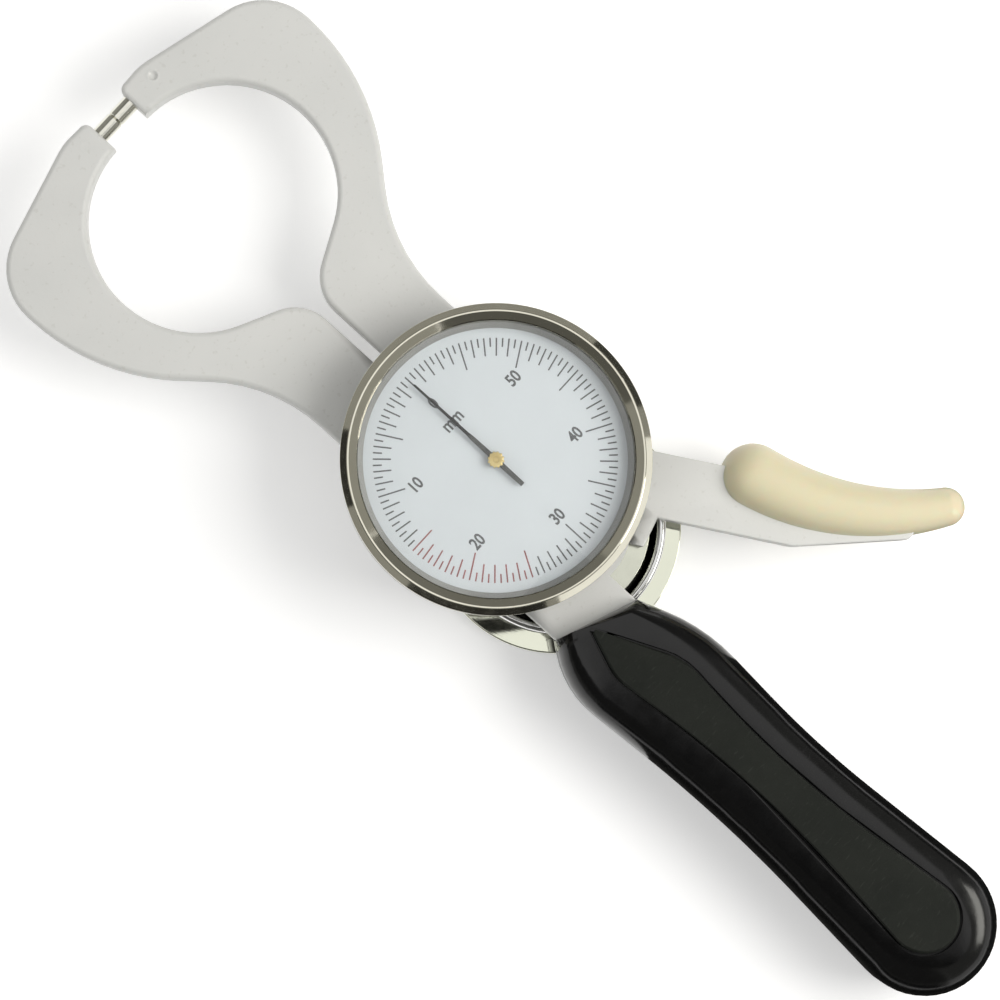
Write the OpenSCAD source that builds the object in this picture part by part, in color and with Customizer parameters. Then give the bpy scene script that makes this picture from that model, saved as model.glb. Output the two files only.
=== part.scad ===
// Dial skinfold caliper: two jawed arms on one pivot, a sprung lever, a geared dial and a moulded handle.
// The pivot runs up Z through the origin. The jaws point to +Y, the handle to -Y, the dial faces +Z.

/* [Arms] */
// Thickness of both cast arms
arm_t = 6; // [5:0.1:9]
// Gap between the two arms between throat and dial
arm_gap = 2.5; // [1.5:0.1:4]
// Distance from the middle line to the outer side of each neck
neck_x = 17.45; // [16:0.05:19]
// Distance from the pivot to the axis of the contact tips
tip_y = 118.5; // [110:0.5:124]
// Radius of the rounded throat of each jaw
throat_r = 21.8; // [18:0.1:22.5]
// Distance of the throat's centre from the middle line
throat_x = 4; // [2:0.1:6]
// Distance of the throat's centre from the pivot
throat_y = 92.5; // [88:0.5:94]
// Distance from the middle line to the outermost side of a jaw
jaw_x = 40.4; // [38:0.1:46]
// Distance from the pivot to the end of the moving jaw
moving_top = 121.9; // [121.2:0.1:126]
// Distance from the pivot to the end of the fixed jaw
fixed_top = 122.3; // [121.2:0.1:126]
// Rounding of each arm at the throat's lower corner
throat_corner_r = 9; // [4:0.5:12]
// Largest angle by which the lever opens the jaws
open_deg = 29.268; // [20:0.001:29.268]

/* [Contact tips] */
// Diameter of the contact pins
tip_d = 3.6; // [2.5:0.1:4.4]
// Length of each pin that stands out of its jaw
tip_out = 4.45; // [3:0.05:8]
// Length of each pin that is held in its jaw
tip_in = 12; // [8:0.5:16]
// Diameter of the screw that locks each pin
tip_screw_d = 1.9; // [1.2:0.1:2.5]
// Distance from the middle line to the moving tip's locking screw
moving_screw_x = 11.1; // [7:0.1:14]
// Distance from the middle line to the fixed tip's locking screw
fixed_screw_x = 8.1; // [7:0.1:14]

/* [Lever and finger grip] */
// Angle of the lever, measured from the X axis
lever_ang = -59.4; // [-62:0.1:-56]
// Width of the lever plate
lever_w = 12.8; // [10:0.1:15]
// Distance from the pivot to the lever's nearer edge
lever_off = 5.25; // [4:0.05:7]
// Angle of the tongue's stop face
tongue_ang = -62; // [-62:0.1:-58]
// Radius to the end of the tongue
tongue_r = 16.8; // [15:0.1:19]
// Radius of the curved middle line of the finger grip
grip_arc_r = 54; // [50:0.5:60]
// Half the width of the grip at its thick end
grip_w0 = 6.5; // [5:0.1:7]
// Half the width of the grip at its thin end
grip_w1 = 3.9; // [3:0.1:5]
// Half the depth of the grip at its thick end
grip_h0 = 7.6; // [6:0.1:9]
// Half the depth of the grip at its thin end
grip_h1 = 5; // [4.4:0.1:7]
// Diameter of the pins that hold the grip on the lever
grip_pin_d = 2.4; // [1.5:0.1:3]

/* [Pivot and spring] */
// Diameter of the pivot shaft in the bushing
pivot_d = 9; // [8:0.1:10]
// Wall of the bushing
bush_wall = 1.5; // [1:0.1:2]
// Radius of the hub where the arms are half lapped
hub_r = 13.8; // [13:0.1:15]
// Diameter of the pin that drives the gear from the moving arm
drive_d = 2.5; // [2:0.1:3]
// Distance of the drive pin from the pivot
drive_r = 9.5; // [9:0.1:10.5]
// Room under the arms for the spring
spring_room = 9; // [8:0.1:12]
// Diameter of the spring wire
wire_d = 2; // [1.2:0.1:2.2]
// Mean radius of the spring coils
coil_r = 20.4; // [19.8:0.1:21.5]
// Number of turns of the spring
coil_turns = 2.25; // [1.25:1:2.25]
// Radius of the spring seat disc
seat_r = 18.1; // [16:0.1:18.4]
// Thickness of the spring seat disc
seat_t = 1.2; // [0.8:0.1:2]
// Radius of the pressure knob
knob_r = 25.3; // [23.5:0.1:28]
// Thickness of the pressure knob
knob_t = 4; // [3.5:0.1:6]
// Rounding of the knob's rim
knob_round = 1.2; // [0.4:0.1:1.6]
// Depth of the recess for the nut in the knob
nut_recess = 2.8; // [2.4:0.1:3]

/* [Gauge case] */
// Distance from the pivot to the centre of the dial
dial_off = 18; // [17:0.1:18.5]
// Radius of the case
case_r = 30; // [29.5:0.1:32]
// Wall of the case
case_wall = 2.4; // [2:0.1:3]
// Thickness of the case floor
floor_t = 1.6; // [1.2:0.1:2.5]
// Height of the case under the bezel
case_h = 7.8; // [7.8:0.1:10]
// Gap between the case floor and the moving arm
case_gap = 0.4; // [0.2:0.05:1]
// Height of the bezel
bezel_h = 6.8; // [6.8:0.1:9]
// Width of the bezel from the case's side to the window
bezel_w = 3.4; // [2.8:0.1:4.2]
// Distance from the case's side in to the bezel's raised crest
crest_in = 1.4; // [1:0.1:2]
// Distance from the case's side in to the visible dial face
face_in = 4.5; // [4.4:0.1:6]
// Thickness of the dial plate
dial_t = 0.6; // [0.4:0.1:0.8]
// Thickness of the crystal at its edge
crystal_t = 1.3; // [1:0.1:1.5]
// Rise of the crystal at its centre
crystal_dome = 0.7; // [0.2:0.1:1.2]

/* [Dial works] */
// Teeth that a whole sector wheel would have
sector_teeth = 123; // [123:1:123]
// Teeth on the pinion
pinion_teeth = 10; // [10:1:10]
// Thickness of the sector gear
sector_t = 1; // [0.8:0.1:1.2]
// Thickness of the bridge over the wheels
bridge_t = 1.2; // [1:0.1:1.5]
// Radius of the bridge's pillars
pillar_r = 1.8; // [1.5:0.1:2.2]
// Length of the pointer from the dial's centre to its point
pointer_l = 21.4; // [18:0.1:23]
// Length of the pointer's tail
pointer_tail = 7; // [5:0.1:10]
// Radius of the brass hub on the pointer
pointer_hub_r = 1.55; // [1.2:0.05:2]

/* [Handle] */
// Thickness of the whole handle
handle_t = 20; // [16:0.5:24]
// Distance from the middle line to the handle's own middle line
handle_x = 9.6; // [9.2:0.05:9.8]
// Radius of the handle's round end
handle_end_r = 14.3; // [13.5:0.1:16]
// Distance from the pivot to the centre of the round end
handle_end_y = 105; // [102:0.1:112]
// Half the width of the handle at its waist
waist_w = 12.15; // [11.4:0.05:12.8]
// Width of rounding around the handle's faces
handle_round = 5.2; // [4:0.1:6]
// Height of rounding around the handle's faces
handle_round_h = 6.5; // [4:0.1:7]
// Half the width of the arm's tang inside the handle
tang_w = 6; // [5:0.1:6.5]
// Thickness of the inset panel
panel_t = 1.3; // [1:0.1:1.8]
// Diameter of the handle screws
handle_screw_d = 3; // [2.5:0.1:3.5]

/* [Hidden] */

$fn = 64;
eps = 0.01;
run_clear = 0.05;      // radial clearance of a running fit
loose_clear = 0.15;    // clearance between pieces that pass each other
seat_clear = 0.02;     // radial clearance of a fixed fit
through = 1;           // how far a cutting shape passes a face

// heights of the stack, from the knob up
z_arm = knob_t + spring_room;
z_lap = z_arm + arm_t / 2;
z_top = z_arm + arm_t;
z_case = z_top + case_gap;
z_floor = z_case + floor_t;
z_rim = z_case + case_h;
z_mid = z_arm + arm_t / 2;
z_seat = z_arm - case_gap - seat_t;
z_bezel_top = z_rim + bezel_h;

pivot_r = pivot_d / 2;
bush_r = pivot_r + run_clear + bush_wall;
gap_x = arm_gap / 2;
tip_r = tip_d / 2;
wire_r = wire_d / 2;
drive_a = 32;          // angle of the drive pin with the jaws closed

// ---- shapes shared by several pieces ----

function unit(v) = v / norm(v);

// points on an arc, a corner every few degrees
function arc(c, r, a0, a1, n) = [for (i = [0 : n]) let (a = a0 + (a1 - a0) * i / n) c + r * [cos(a), sin(a)]];

function wrap(a) = a > 180 ? a - 360 : (a <= -180 ? a + 360 : a);

// the corner q = [x, y, radius] between the points p and s
function corner(p, q, s) =
    let (
        c = [q[0], q[1]],
        u = unit([p[0], p[1]] - c),
        v = unit([s[0], s[1]] - c),
        half = acos(u * v) / 2,
        m = c + unit(u + v) * q[2] / sin(half),
        a = c + u * q[2] / tan(half) - m,
        b = c + v * q[2] / tan(half) - m,
        a0 = atan2(a[1], a[0]),
        turn = wrap(atan2(b[1], b[0]) - a0)
    )
    q[2] == 0 ? [c] : arc(m, q[2], a0, a0 + turn, max(2, ceil(abs(turn) / 8), ceil(abs(turn) * q[2] / 200)));

// a closed outline from corners [x, y, radius]
function rounded(q) =
    let (n = len(q))
    [for (i = [0 : n - 1]) each corner(q[(i + n - 1) % n], q[i], q[(i + 1) % n])];

// the middle of a closed ring, each side counted by its length
function ring_mid(r) =
    let (n = len(r), side = [for (j = [0 : n - 1]) norm(r[(j + 1) % n] - r[j])])
    side * [for (j = [0 : n - 1]) (r[j] + r[(j + 1) % n]) / 2] / (side * [for (j = side) 1]);

// a skin through rings of equal length, capped at both ends; each ring turns
// anticlockwise as seen from the rings that follow it
module skin(rings) {
    n = len(rings[0]);
    m = len(rings);
    polyhedron(
        points = concat([for (r = rings) each r], [ring_mid(rings[0]), ring_mid(rings[m - 1])]),
        faces = concat(
            [for (j = [0 : n - 1]) [m * n, j, (j + 1) % n]],
            [for (i = [0 : m - 2], j = [0 : n - 1])
                each [[i * n + j, (i + 1) * n + (j + 1) % n, i * n + (j + 1) % n],
                      [i * n + j, (i + 1) * n + j, (i + 1) * n + (j + 1) % n]]],
            [for (j = [0 : n - 1]) [m * n + 1, (m - 1) * n + (j + 1) % n, (m - 1) * n + j]]
        )
    );
}

// a ring with a square section
module ring(r_out, r_in, h) {
    difference() {
        cylinder(r = r_out, h = h);
        translate([0, 0, -through]) cylinder(r = r_in, h = h + 2 * through);
    }
}

// a screw standing on its head's underside at z = 0, head up, shank down
module screw(d, l, head_d, head_h, slot_w) {
    difference() {
        union() {
            translate([0, 0, -l]) cylinder(d = d, h = l);
            cylinder(d = head_d, h = head_h);
        }
        translate([-head_d, -slot_w / 2, head_h * 0.5]) cube([2 * head_d, slot_w, head_h]);
    }
}

// an open retaining ring of thickness h
module clip(r_in, r_out, h) {
    difference() {
        ring(r_out, r_in, h);
        translate([0, -r_in * 0.7, -through]) cube([2 * r_out, r_in * 1.4, h + 2 * through]);
    }
}

module at_dial() { translate([0, dial_off, 0]) children(); }

// ---- arms ----

throat_end = -64;      // angle at which the throat's arc leaves for the gap
throat_c = [throat_x, throat_y];
throat_top = acos((tip_out - throat_x) / throat_r);
throat_last = throat_c + throat_r * [cos(throat_end), sin(throat_end)];
throat_dir = [sin(throat_end), -cos(throat_end)];
gap_corner_y = throat_last[1] + throat_dir[1] * (throat_last[0] - gap_x) / -throat_dir[0];
neck_low_y = 5.8;      // where the neck's outer side turns into the lever
shoulder_y = 114.2;    // height of the jaw's outer shoulder
flank_y = 87;          // where the jaw's flank starts to run in
neck_y = 60.6;         // where the flank has run in to the neck

// the jaw from the gap line round to the neck, as seen on the +X side
jaw_points = concat(
    corner(throat_last, [gap_x, gap_corner_y, throat_corner_r], [gap_x, 0]),
    []
);
function jaw_outline(top) = concat(
    [for (i = [len(jaw_points) - 1 : -1 : 0]) jaw_points[i]],
    arc(throat_c, throat_r, throat_end, throat_top, 30),
    corner([tip_out, throat_y], [tip_out, top - 0.2, 1.6], [11, top]),
    corner([tip_out, top], [11, top, 12], [jaw_x, shoulder_y]),
    corner([11, top], [jaw_x, shoulder_y, 13], [jaw_x, flank_y]),
    corner([jaw_x, shoulder_y], [jaw_x, flank_y, 45], [neck_x, neck_y]),
    corner([jaw_x, flank_y], [neck_x, neck_y, 34], [neck_x, neck_low_y])
);

lever_dir = [cos(lever_ang), sin(lever_ang)];
lever_nrm = [-sin(lever_ang), cos(lever_ang)];
function on_lever(along, off) = lever_dir * along + lever_nrm * off;
lever_out = lever_off + lever_w;
notch_along = 18.4;    // distance along the lever to the inner notch
knee_along = 45.7;     // where the lever's inner edge turns out under the grip
lever_end = [50.5, -52.6];
lever_side = [46.7, -42.4];
lever_rest = [40.4, -32.6];
lever_foot = [44.2, -52.6];
tongue_dir = [cos(tongue_ang), sin(tongue_ang)];

moving_outline = concat(
    jaw_outline(moving_top),
    corner([neck_x, neck_y], [neck_x, neck_low_y, 12], on_lever(30, lever_out)),
    [on_lever(31, lever_out)],
    corner(on_lever(31, lever_out), [lever_rest[0], lever_rest[1], 40], lever_side),
    [lever_side],
    corner(lever_side, [lever_end[0], lever_end[1], 1.5], lever_foot),
    corner(lever_end, [lever_foot[0], lever_foot[1], 1.2], on_lever(knee_along, lever_off)),
    corner(lever_foot, concat(on_lever(knee_along, lever_off), [6]), on_lever(notch_along, lever_off)),
    [on_lever(notch_along, lever_off)],
    [tongue_dir * tongue_r],
    [tongue_dir * (hub_r - 1)],
    [[gap_x, 0]]
);

strip_x = 0.9;         // distance from the middle line to the handle strip's inner edge
strip_out = 17.3;      // distance from the middle line to the strip's outer edge
tang_top_y = -24;      // where the strip narrows to the tang, inside the handle
tang_end_y = -(handle_end_y - 1);

fixed_outline = [for (p = concat(
    jaw_outline(fixed_top),
    [[neck_x, 10], [strip_out, -5]],
    [[strip_out, tang_top_y + 4], [handle_x + tang_w, tang_top_y]],
    corner([handle_x + tang_w, tang_top_y], [handle_x + tang_w, tang_end_y, 5], [handle_x - tang_w, tang_end_y]),
    corner([handle_x + tang_w, tang_end_y], [handle_x - tang_w, tang_end_y, 5], [handle_x - tang_w, tang_top_y]),
    [[handle_x - tang_w, tang_top_y], [strip_x, tang_top_y + 2.5]],
    [[strip_x, -hub_r + 1], [gap_x, 0]]
)) [-p[0], p[1]]];

// the bore that holds a contact pin, on the +X side
module tip_bore(screw_x) {
    translate([tip_out - through, tip_y, z_mid]) rotate([0, 90, 0])
        cylinder(r = tip_r + seat_clear, h = tip_in + through);
    translate([screw_x, tip_y, z_mid + tip_r - 0.3]) cylinder(d = tip_screw_d + 2 * seat_clear, h = arm_t);
}

// a slot that lets the drive pin swing, cut from z to z + h
slot_r = drive_d / 2 + 0.5;
slot_pts = concat(
    arc([0, 0], drive_r + slot_r, drive_a - open_deg - 1, drive_a + 1, 8),
    arc(drive_r * [cos(drive_a + 1), sin(drive_a + 1)], slot_r, drive_a + 1, drive_a + 181, 10),
    arc([0, 0], drive_r - slot_r, drive_a + 1, drive_a - open_deg - 1, 8),
    arc(drive_r * [cos(drive_a - open_deg - 1), sin(drive_a - open_deg - 1)], slot_r,
        drive_a - open_deg - 181, drive_a - open_deg - 1, 10)
);
module drive_slot(z, h) { translate([0, 0, z]) linear_extrude(h) polygon(slot_pts); }

case_screw_at = [[-9.5, 38], [-13.8, 12.5], [-8.5, -4.5]];
case_screw_d = 2;
case_screw_l = 3.4;
handle_screw_y = [-34, -67, -98];
seat_screw_r = 9.4;
seat_screw_a = [100, 190, 280];
seat_screw_d = 2;
seat_sink = 0.8;       // how deep the seat screws' heads are let in
screw_spare = 0.8;     // metal left over the ends of the seat screws

module case_screw_holes(z, h) {
    for (p = case_screw_at) translate([p[0], p[1], z]) cylinder(d = case_screw_d + 2 * seat_clear, h = h);
}

module fixed_arm() {
    color([0.8, 0.8, 0.785])
    difference() {
        union() {
            translate([0, 0, z_arm]) linear_extrude(arm_t) polygon(fixed_outline);
            translate([0, 0, z_lap + loose_clear / 2]) cylinder(r = hub_r, h = arm_t / 2 - loose_clear / 2);
            // raised pad that carries the case clear of the moving arm
            intersection() {
                translate([0, 0, z_top - eps]) linear_extrude(case_gap + eps) polygon(fixed_outline);
                at_dial() translate([0, 0, z_arm]) cylinder(r = case_r - case_wall, h = arm_t + 2);
            }
            translate([0, 0, z_top - eps]) cylinder(r = hub_r - 7, h = case_gap + eps);
        }
        // lower half of the lap
        translate([0, 0, z_arm - through])
            cylinder(r = hub_r + loose_clear, h = arm_t / 2 + through + loose_clear / 2);
        translate([0, 0, z_arm]) cylinder(r = shaft_top_r + seat_clear, h = arm_t + 2);
        drive_slot(z_arm - through, arm_t + 3);
        case_screw_holes(z_case - case_screw_l - 0.2, case_screw_l + 2);
        mirror([1, 0, 0]) tip_bore(fixed_screw_x);
        for (y = handle_screw_y) translate([-handle_x, y, z_arm - through])
            cylinder(d = handle_screw_d + 2 * loose_clear, h = arm_t + 2 * through);
    }
}

module moving_arm() {
    color([0.81, 0.81, 0.795])
    difference() {
        union() {
            translate([0, 0, z_arm]) linear_extrude(arm_t) polygon(moving_outline);
            translate([0, 0, z_arm]) cylinder(r = hub_r, h = arm_t / 2 - loose_clear / 2);
        }
        // upper half of the lap
        translate([0, 0, z_lap - loose_clear / 2]) cylinder(r = hub_r + loose_clear, h = arm_t);
        translate([0, 0, z_arm - through]) cylinder(r = bush_r + seat_clear, h = arm_t);
        rotate(drive_a) translate([drive_r, 0, z_arm - through])
            cylinder(d = drive_d + 2 * seat_clear, h = arm_t);
        for (a = seat_screw_a) rotate(a) translate([seat_screw_r, 0, z_arm - through])
            cylinder(d = seat_screw_d + 2 * seat_clear, h = through + arm_t / 2 - screw_spare + 0.3);
        rotate(coil_top_a) translate([coil_r, 0, z_arm - through])
            cylinder(r = wire_r + loose_clear, h = through + 4);
        tip_bore(moving_screw_x);
        for (a = grip_pin_at) grip_at(a) cylinder(d = grip_pin_d + 2 * seat_clear, h = 3 * handle_t, center = true);
    }
}

// ---- contact tips ----

tip_edge = 0.25;       // small bevel on the contact face

module tip_pin() {
    translate([0.005, tip_y, z_mid]) rotate([0, 90, 0]) {
        cylinder(r1 = tip_r - tip_edge, r2 = tip_r, h = tip_edge);
        translate([0, 0, tip_edge]) cylinder(r = tip_r, h = tip_out + tip_in - tip_edge - 0.5);
    }
}

module tip_lock(screw_x) {
    difference() {
        translate([screw_x, tip_y, z_mid + tip_r + 0.02])
            cylinder(d = tip_screw_d, h = arm_t / 2 - tip_r - 0.22);
        translate([screw_x, tip_y, z_top - 0.8]) cylinder(d = tip_screw_d * 0.5, h = 1, $fn = 6);
    }
}

module moving_tip() { color([0.86, 0.86, 0.84]) tip_pin(); }
module fixed_tip() { color([0.86, 0.86, 0.84]) mirror([1, 0, 0]) tip_pin(); }
module moving_tip_screw() { color([0.72, 0.72, 0.7]) tip_lock(moving_screw_x); }
module fixed_tip_screw() { color([0.72, 0.72, 0.7]) mirror([1, 0, 0]) tip_lock(fixed_screw_x); }

// ---- finger grip on the lever ----

grip_a0 = 192.4;       // angle where the middle line starts, seen from the arc's centre
grip_sweep = 42;       // angle that it turns through
grip_start = [32.95, -21.6];
grip_c = grip_start - grip_arc_r * [cos(grip_a0), sin(grip_a0)];
grip_rings = 20;
grip_sides = 28;
grip_pin_at = [0.3, 0.62];

function grip_half_w(t) = grip_w0 + (grip_w1 - grip_w0) * pow(t, 1.5);
function grip_half_h(t) = grip_h0 + (grip_h1 - grip_h0) * pow(t, 1.2);
function signed_pow(v, e) = sign(v) * pow(abs(v), e);
// one ring round the middle line: t runs along it, grow fills out the round ends, push moves past them
function grip_ring(t, grow, push) =
    let (
        a = grip_a0 + grip_sweep * t,
        out = [cos(a), sin(a)],
        along = [-sin(a), cos(a)],
        c = grip_c + grip_arc_r * out + along * push,
        w = grip_half_w(t) * grow,
        h = grip_half_h(t) * grow
    )
    [for (j = [0 : grip_sides - 1])
        let (
            b = -360 * j / grip_sides,
            p = c + out * w * signed_pow(cos(b), 0.82)
        )
        [p[0], p[1], z_mid + h * signed_pow(sin(b), 0.82)]];

cap_steps = 5;
function cap_grow(i) = sin(90 * (i + 0.4) / (cap_steps + 0.4));
function cap_push(i) = cos(90 * (i + 0.4) / (cap_steps + 0.4));

module grip_at(t) {
    a = grip_a0 + grip_sweep * t;
    translate(concat(grip_c + grip_arc_r * [cos(a), sin(a)], [z_mid])) children();
}

module lever_grip() {
    color([0.87, 0.85, 0.7])
    difference() {
        skin(concat(
            [for (i = [0 : cap_steps - 1]) grip_ring(0, cap_grow(i), -grip_w0 * cap_push(i))],
            [for (i = [0 : grip_rings]) grip_ring(i / grip_rings, 1, 0)],
            [for (i = [cap_steps - 1 : -1 : 0]) grip_ring(1, cap_grow(i), grip_w1 * cap_push(i))]
        ));
        // slot for the lever plate
        translate([0, 0, z_arm - seat_clear]) linear_extrude(arm_t + 2 * seat_clear) polygon(moving_outline);
        for (t = grip_pin_at) grip_at(t)
            translate([0, 0, -grip_half_h(t) - through])
                cylinder(d = grip_pin_d + 2 * seat_clear, h = 2 * grip_half_h(t) - 1 + through);
    }
}

module grip_pins() {
    color([0.75, 0.75, 0.74])
    for (t = grip_pin_at) grip_at(t)
        translate([0, 0, -grip_half_h(t) + 0.5]) cylinder(d = grip_pin_d, h = 2 * grip_half_h(t) - 2);
}

// ---- pivot ----

shaft_top_r = 4;       // part of the shaft that is held in the fixed arm
shaft_knob_r = 3.5;    // part of the shaft that carries the knob
shaft_thread_r = 3;    // threaded lower end
gear_r = 2;            // part of the shaft that carries the sector gear
z_knob_hub = z_seat - 0.4;
z_thread = nut_recess + 0.4;
clip_t = 0.6;
z_sector = z_floor + clip_t + 0.7;
groove = 0.4;          // depth of the grooves for the retaining clips

module pivot_shaft() {
    color([0.7, 0.7, 0.69])
    difference() {
        union() {
            translate([0, 0, 0.4]) cylinder(r = shaft_thread_r, h = z_knob_hub - 0.4);
            translate([0, 0, z_thread]) cylinder(r = shaft_knob_r, h = z_knob_hub - z_thread);
            translate([0, 0, z_knob_hub]) cylinder(r = pivot_r, h = z_lap + loose_clear / 2 - z_knob_hub);
            translate([0, 0, z_lap]) cylinder(r = shaft_top_r, h = z_floor + clip_t + 0.5 - z_lap);
            translate([0, 0, z_lap]) cylinder(r = gear_r, h = z_sector + sector_t + clip_t + 0.8 - z_lap);
        }
        translate([0, 0, z_floor + 0.05]) ring(shaft_top_r + through, shaft_top_r - groove, clip_t + 0.1);
        translate([0, 0, z_sector + sector_t + 0.15]) ring(gear_r + through, gear_r - groove, clip_t + 0.1);
    }
}

module shaft_clip() {
    color([0.25, 0.25, 0.25]) translate([0, 0, z_floor + 0.1]) clip(shaft_top_r - groove + seat_clear, 6, clip_t);
}

module sector_clip() {
    color([0.25, 0.25, 0.25])
        translate([0, 0, z_sector + sector_t + 0.2]) clip(gear_r - groove + seat_clear, 3.6, clip_t);
}

module pivot_bushing() {
    color([0.72, 0.55, 0.25]) translate([0, 0, z_arm])
        ring(bush_r, pivot_r + run_clear, arm_t / 2 - loose_clear / 2);
}

module drive_pin() {
    color([0.7, 0.7, 0.69]) rotate(drive_a) translate([drive_r, 0, z_arm + 0.2])
        cylinder(d = drive_d, h = z_sector + sector_t + 0.3 - z_arm - 0.2);
}

// ---- spring, seat and knob ----

coil_top_a = -30;      // where the wire turns up into the moving arm
coil_low_a = coil_top_a - 360 * coil_turns;
z_coil_top = z_arm - 0.25 - wire_r;
z_coil_low = knob_t + 0.2 + wire_r;
tail_bend = 1.6;       // radius of the bend into each tail
coil_steps = 30;       // rings per turn
wire_sides = 10;

function ring_dir(a) = [cos(a), sin(a), 0];
function coil_point(f) =
    let (a = coil_low_a + (coil_top_a - coil_low_a) * f)
    concat(coil_r * [cos(a), sin(a)], [z_coil_low + (z_coil_top - z_coil_low) * f]);
bend_deg = tail_bend / coil_r * 180 / PI;
// the wire's middle line as [point, angle round the pivot]: lower tail, coils, upper tail
coil_path = concat(
    [for (i = [0 : 4])
        let (b = 90 * i / 4, a = coil_low_a - bend_deg * cos(b))
        [concat(coil_r * [cos(a), sin(a)], [z_coil_low - tail_bend * (1 - sin(b))]), a]],
    [for (i = [1 : coil_turns * coil_steps - 1])
        let (f = i / (coil_turns * coil_steps)) [coil_point(f), coil_low_a + (coil_top_a - coil_low_a) * f]],
    [for (i = [0 : 4])
        let (b = 90 * i / 4, a = coil_top_a + bend_deg * sin(b) - bend_deg)
        [concat(coil_r * [cos(a), sin(a)], [z_coil_top + tail_bend * (1 - cos(b))]), a]],
    [[concat(coil_r * [cos(coil_top_a), sin(coil_top_a)], [z_arm + 3.4]), coil_top_a]]
);
coil_whole = concat(
    [[concat(coil_r * [cos(coil_low_a - bend_deg), sin(coil_low_a - bend_deg)], [knob_t - 2.2]),
      coil_low_a - bend_deg]],
    coil_path
);

function wire_ring(i) =
    let (
        n = len(coil_whole),
        p = coil_whole[i][0],
        t = unit(coil_whole[min(i + 1, n - 1)][0] - coil_whole[max(i - 1, 0)][0]),
        e = ring_dir(coil_whole[i][1]),
        side = unit(cross(t, e)),
        out = cross(side, t)
    )
    [for (j = [0 : wire_sides - 1])
        p + wire_r * (out * cos(360 * j / wire_sides) + side * sin(360 * j / wire_sides))];

module torsion_spring() {
    color([0.66, 0.66, 0.65]) skin([for (i = [0 : len(coil_whole) - 1]) wire_ring(i)]);
}

module spring_seat() {
    color([0.8, 0.82, 0.78])
    difference() {
        union() {
            translate([0, 0, z_seat]) cylinder(r = seat_r, h = seat_t);
            translate([0, 0, z_seat]) cylinder(r = hub_r - 1.2, h = z_arm - z_seat);
        }
        translate([0, 0, z_seat - through]) cylinder(r = pivot_r + loose_clear, h = spring_room);
        for (a = seat_screw_a) rotate(a) translate([seat_screw_r, 0, z_seat - through])
            cylinder(d = seat_screw_d + 2 * loose_clear, h = spring_room);
        for (a = seat_screw_a) rotate(a) translate([seat_screw_r, 0, z_seat - through])
            cylinder(d = 2 * seat_screw_d + 0.4, h = through + seat_sink);
    }
}

module seat_screws() {
    color([0.6, 0.6, 0.6])
    for (a = seat_screw_a) rotate(a) translate([seat_screw_r, 0, z_seat + seat_sink]) mirror([0, 0, 1])
        screw(seat_screw_d, z_arm - z_seat - seat_sink + arm_t / 2 - screw_spare, 2 * seat_screw_d,
              0.375 * seat_screw_d, seat_screw_d / 4);
}

module pressure_knob() {
    hub = 9;           // radius of the hub inside the coils
    lip = 0.6;         // flat ring left inside the rounded rim
    color([0.85, 0.86, 0.84])
    difference() {
        rotate_extrude($fn = 96) polygon(concat(
            [[shaft_knob_r + seat_clear, 0]],
            arc([knob_r - knob_round, knob_round], knob_round, -90, 0, 6),
            arc([knob_r - knob_round, knob_t - knob_round], knob_round, 0, 90, 6),
            [[hub + lip, knob_t], [hub, knob_t + lip], [hub, z_knob_hub], [shaft_knob_r + seat_clear, z_knob_hub]]
        ));
        translate([0, 0, -through]) cylinder(r = 7.4, h = nut_recess + through);
        rotate(coil_low_a - bend_deg) translate([coil_r, 0, knob_t - 2.6])
            cylinder(r = wire_r + loose_clear, h = 4);
    }
}

module knob_washer() {
    color([0.75, 0.75, 0.74]) translate([0, 0, nut_recess - 0.6]) ring(6.6, shaft_thread_r + seat_clear, 0.6);
}

module knob_nut() {
    color([0.7, 0.7, 0.69])
    difference() {
        translate([0, 0, 0.3]) cylinder(r = 5.6, h = nut_recess - 0.9, $fn = 6);
        translate([0, 0, -through]) cylinder(r = shaft_thread_r + seat_clear, h = nut_recess + through);
    }
}

// ---- gauge case and works ----

window_r = case_r - bezel_w;
crest_r = case_r - crest_in;
dial_r = case_r - face_in;
spigot_r = case_r - 1;
spigot_h = 3.2;
snap_z = z_rim + 1.9;
snap_r = 0.35;
bearing_r = 2;

module gauge_case() {
    color([0.68, 0.67, 0.62])
    difference() {
        at_dial() rotate_extrude($fn = 120) polygon([
            [0, z_case], [case_r - 0.8, z_case], [case_r, z_case + 0.8], [case_r, z_rim],
            [spigot_r, z_rim], [spigot_r, snap_z - snap_r], [spigot_r - snap_r, snap_z - snap_r],
            [spigot_r - snap_r, snap_z + snap_r], [spigot_r, snap_z + snap_r], [spigot_r, z_rim + spigot_h],
            [case_r - case_wall, z_rim + spigot_h], [case_r - case_wall, z_floor], [0, z_floor]
        ]);
        translate([0, 0, z_case - through]) cylinder(r = shaft_top_r + seat_clear, h = floor_t + 2 * through);
        at_dial() translate([0, 0, z_case - through]) cylinder(r = bearing_r + seat_clear, h = floor_t + 2 * through);
        drive_slot(z_case - through, floor_t + 2 * through);
        case_screw_holes(z_case - through, floor_t + 2 * through);
        for (p = pillar_at) translate([p[0], p[1], z_case - through])
            cylinder(r = pillar_foot_r + seat_clear, h = floor_t + 2 * through);
    }
}

module case_screws() {
    color([0.6, 0.6, 0.58])
    for (p = case_screw_at) translate([p[0], p[1], z_floor])
        screw(case_screw_d, floor_t + case_screw_l - 0.6, 1.9 * case_screw_d, 0.9, 0.5);
}

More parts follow.
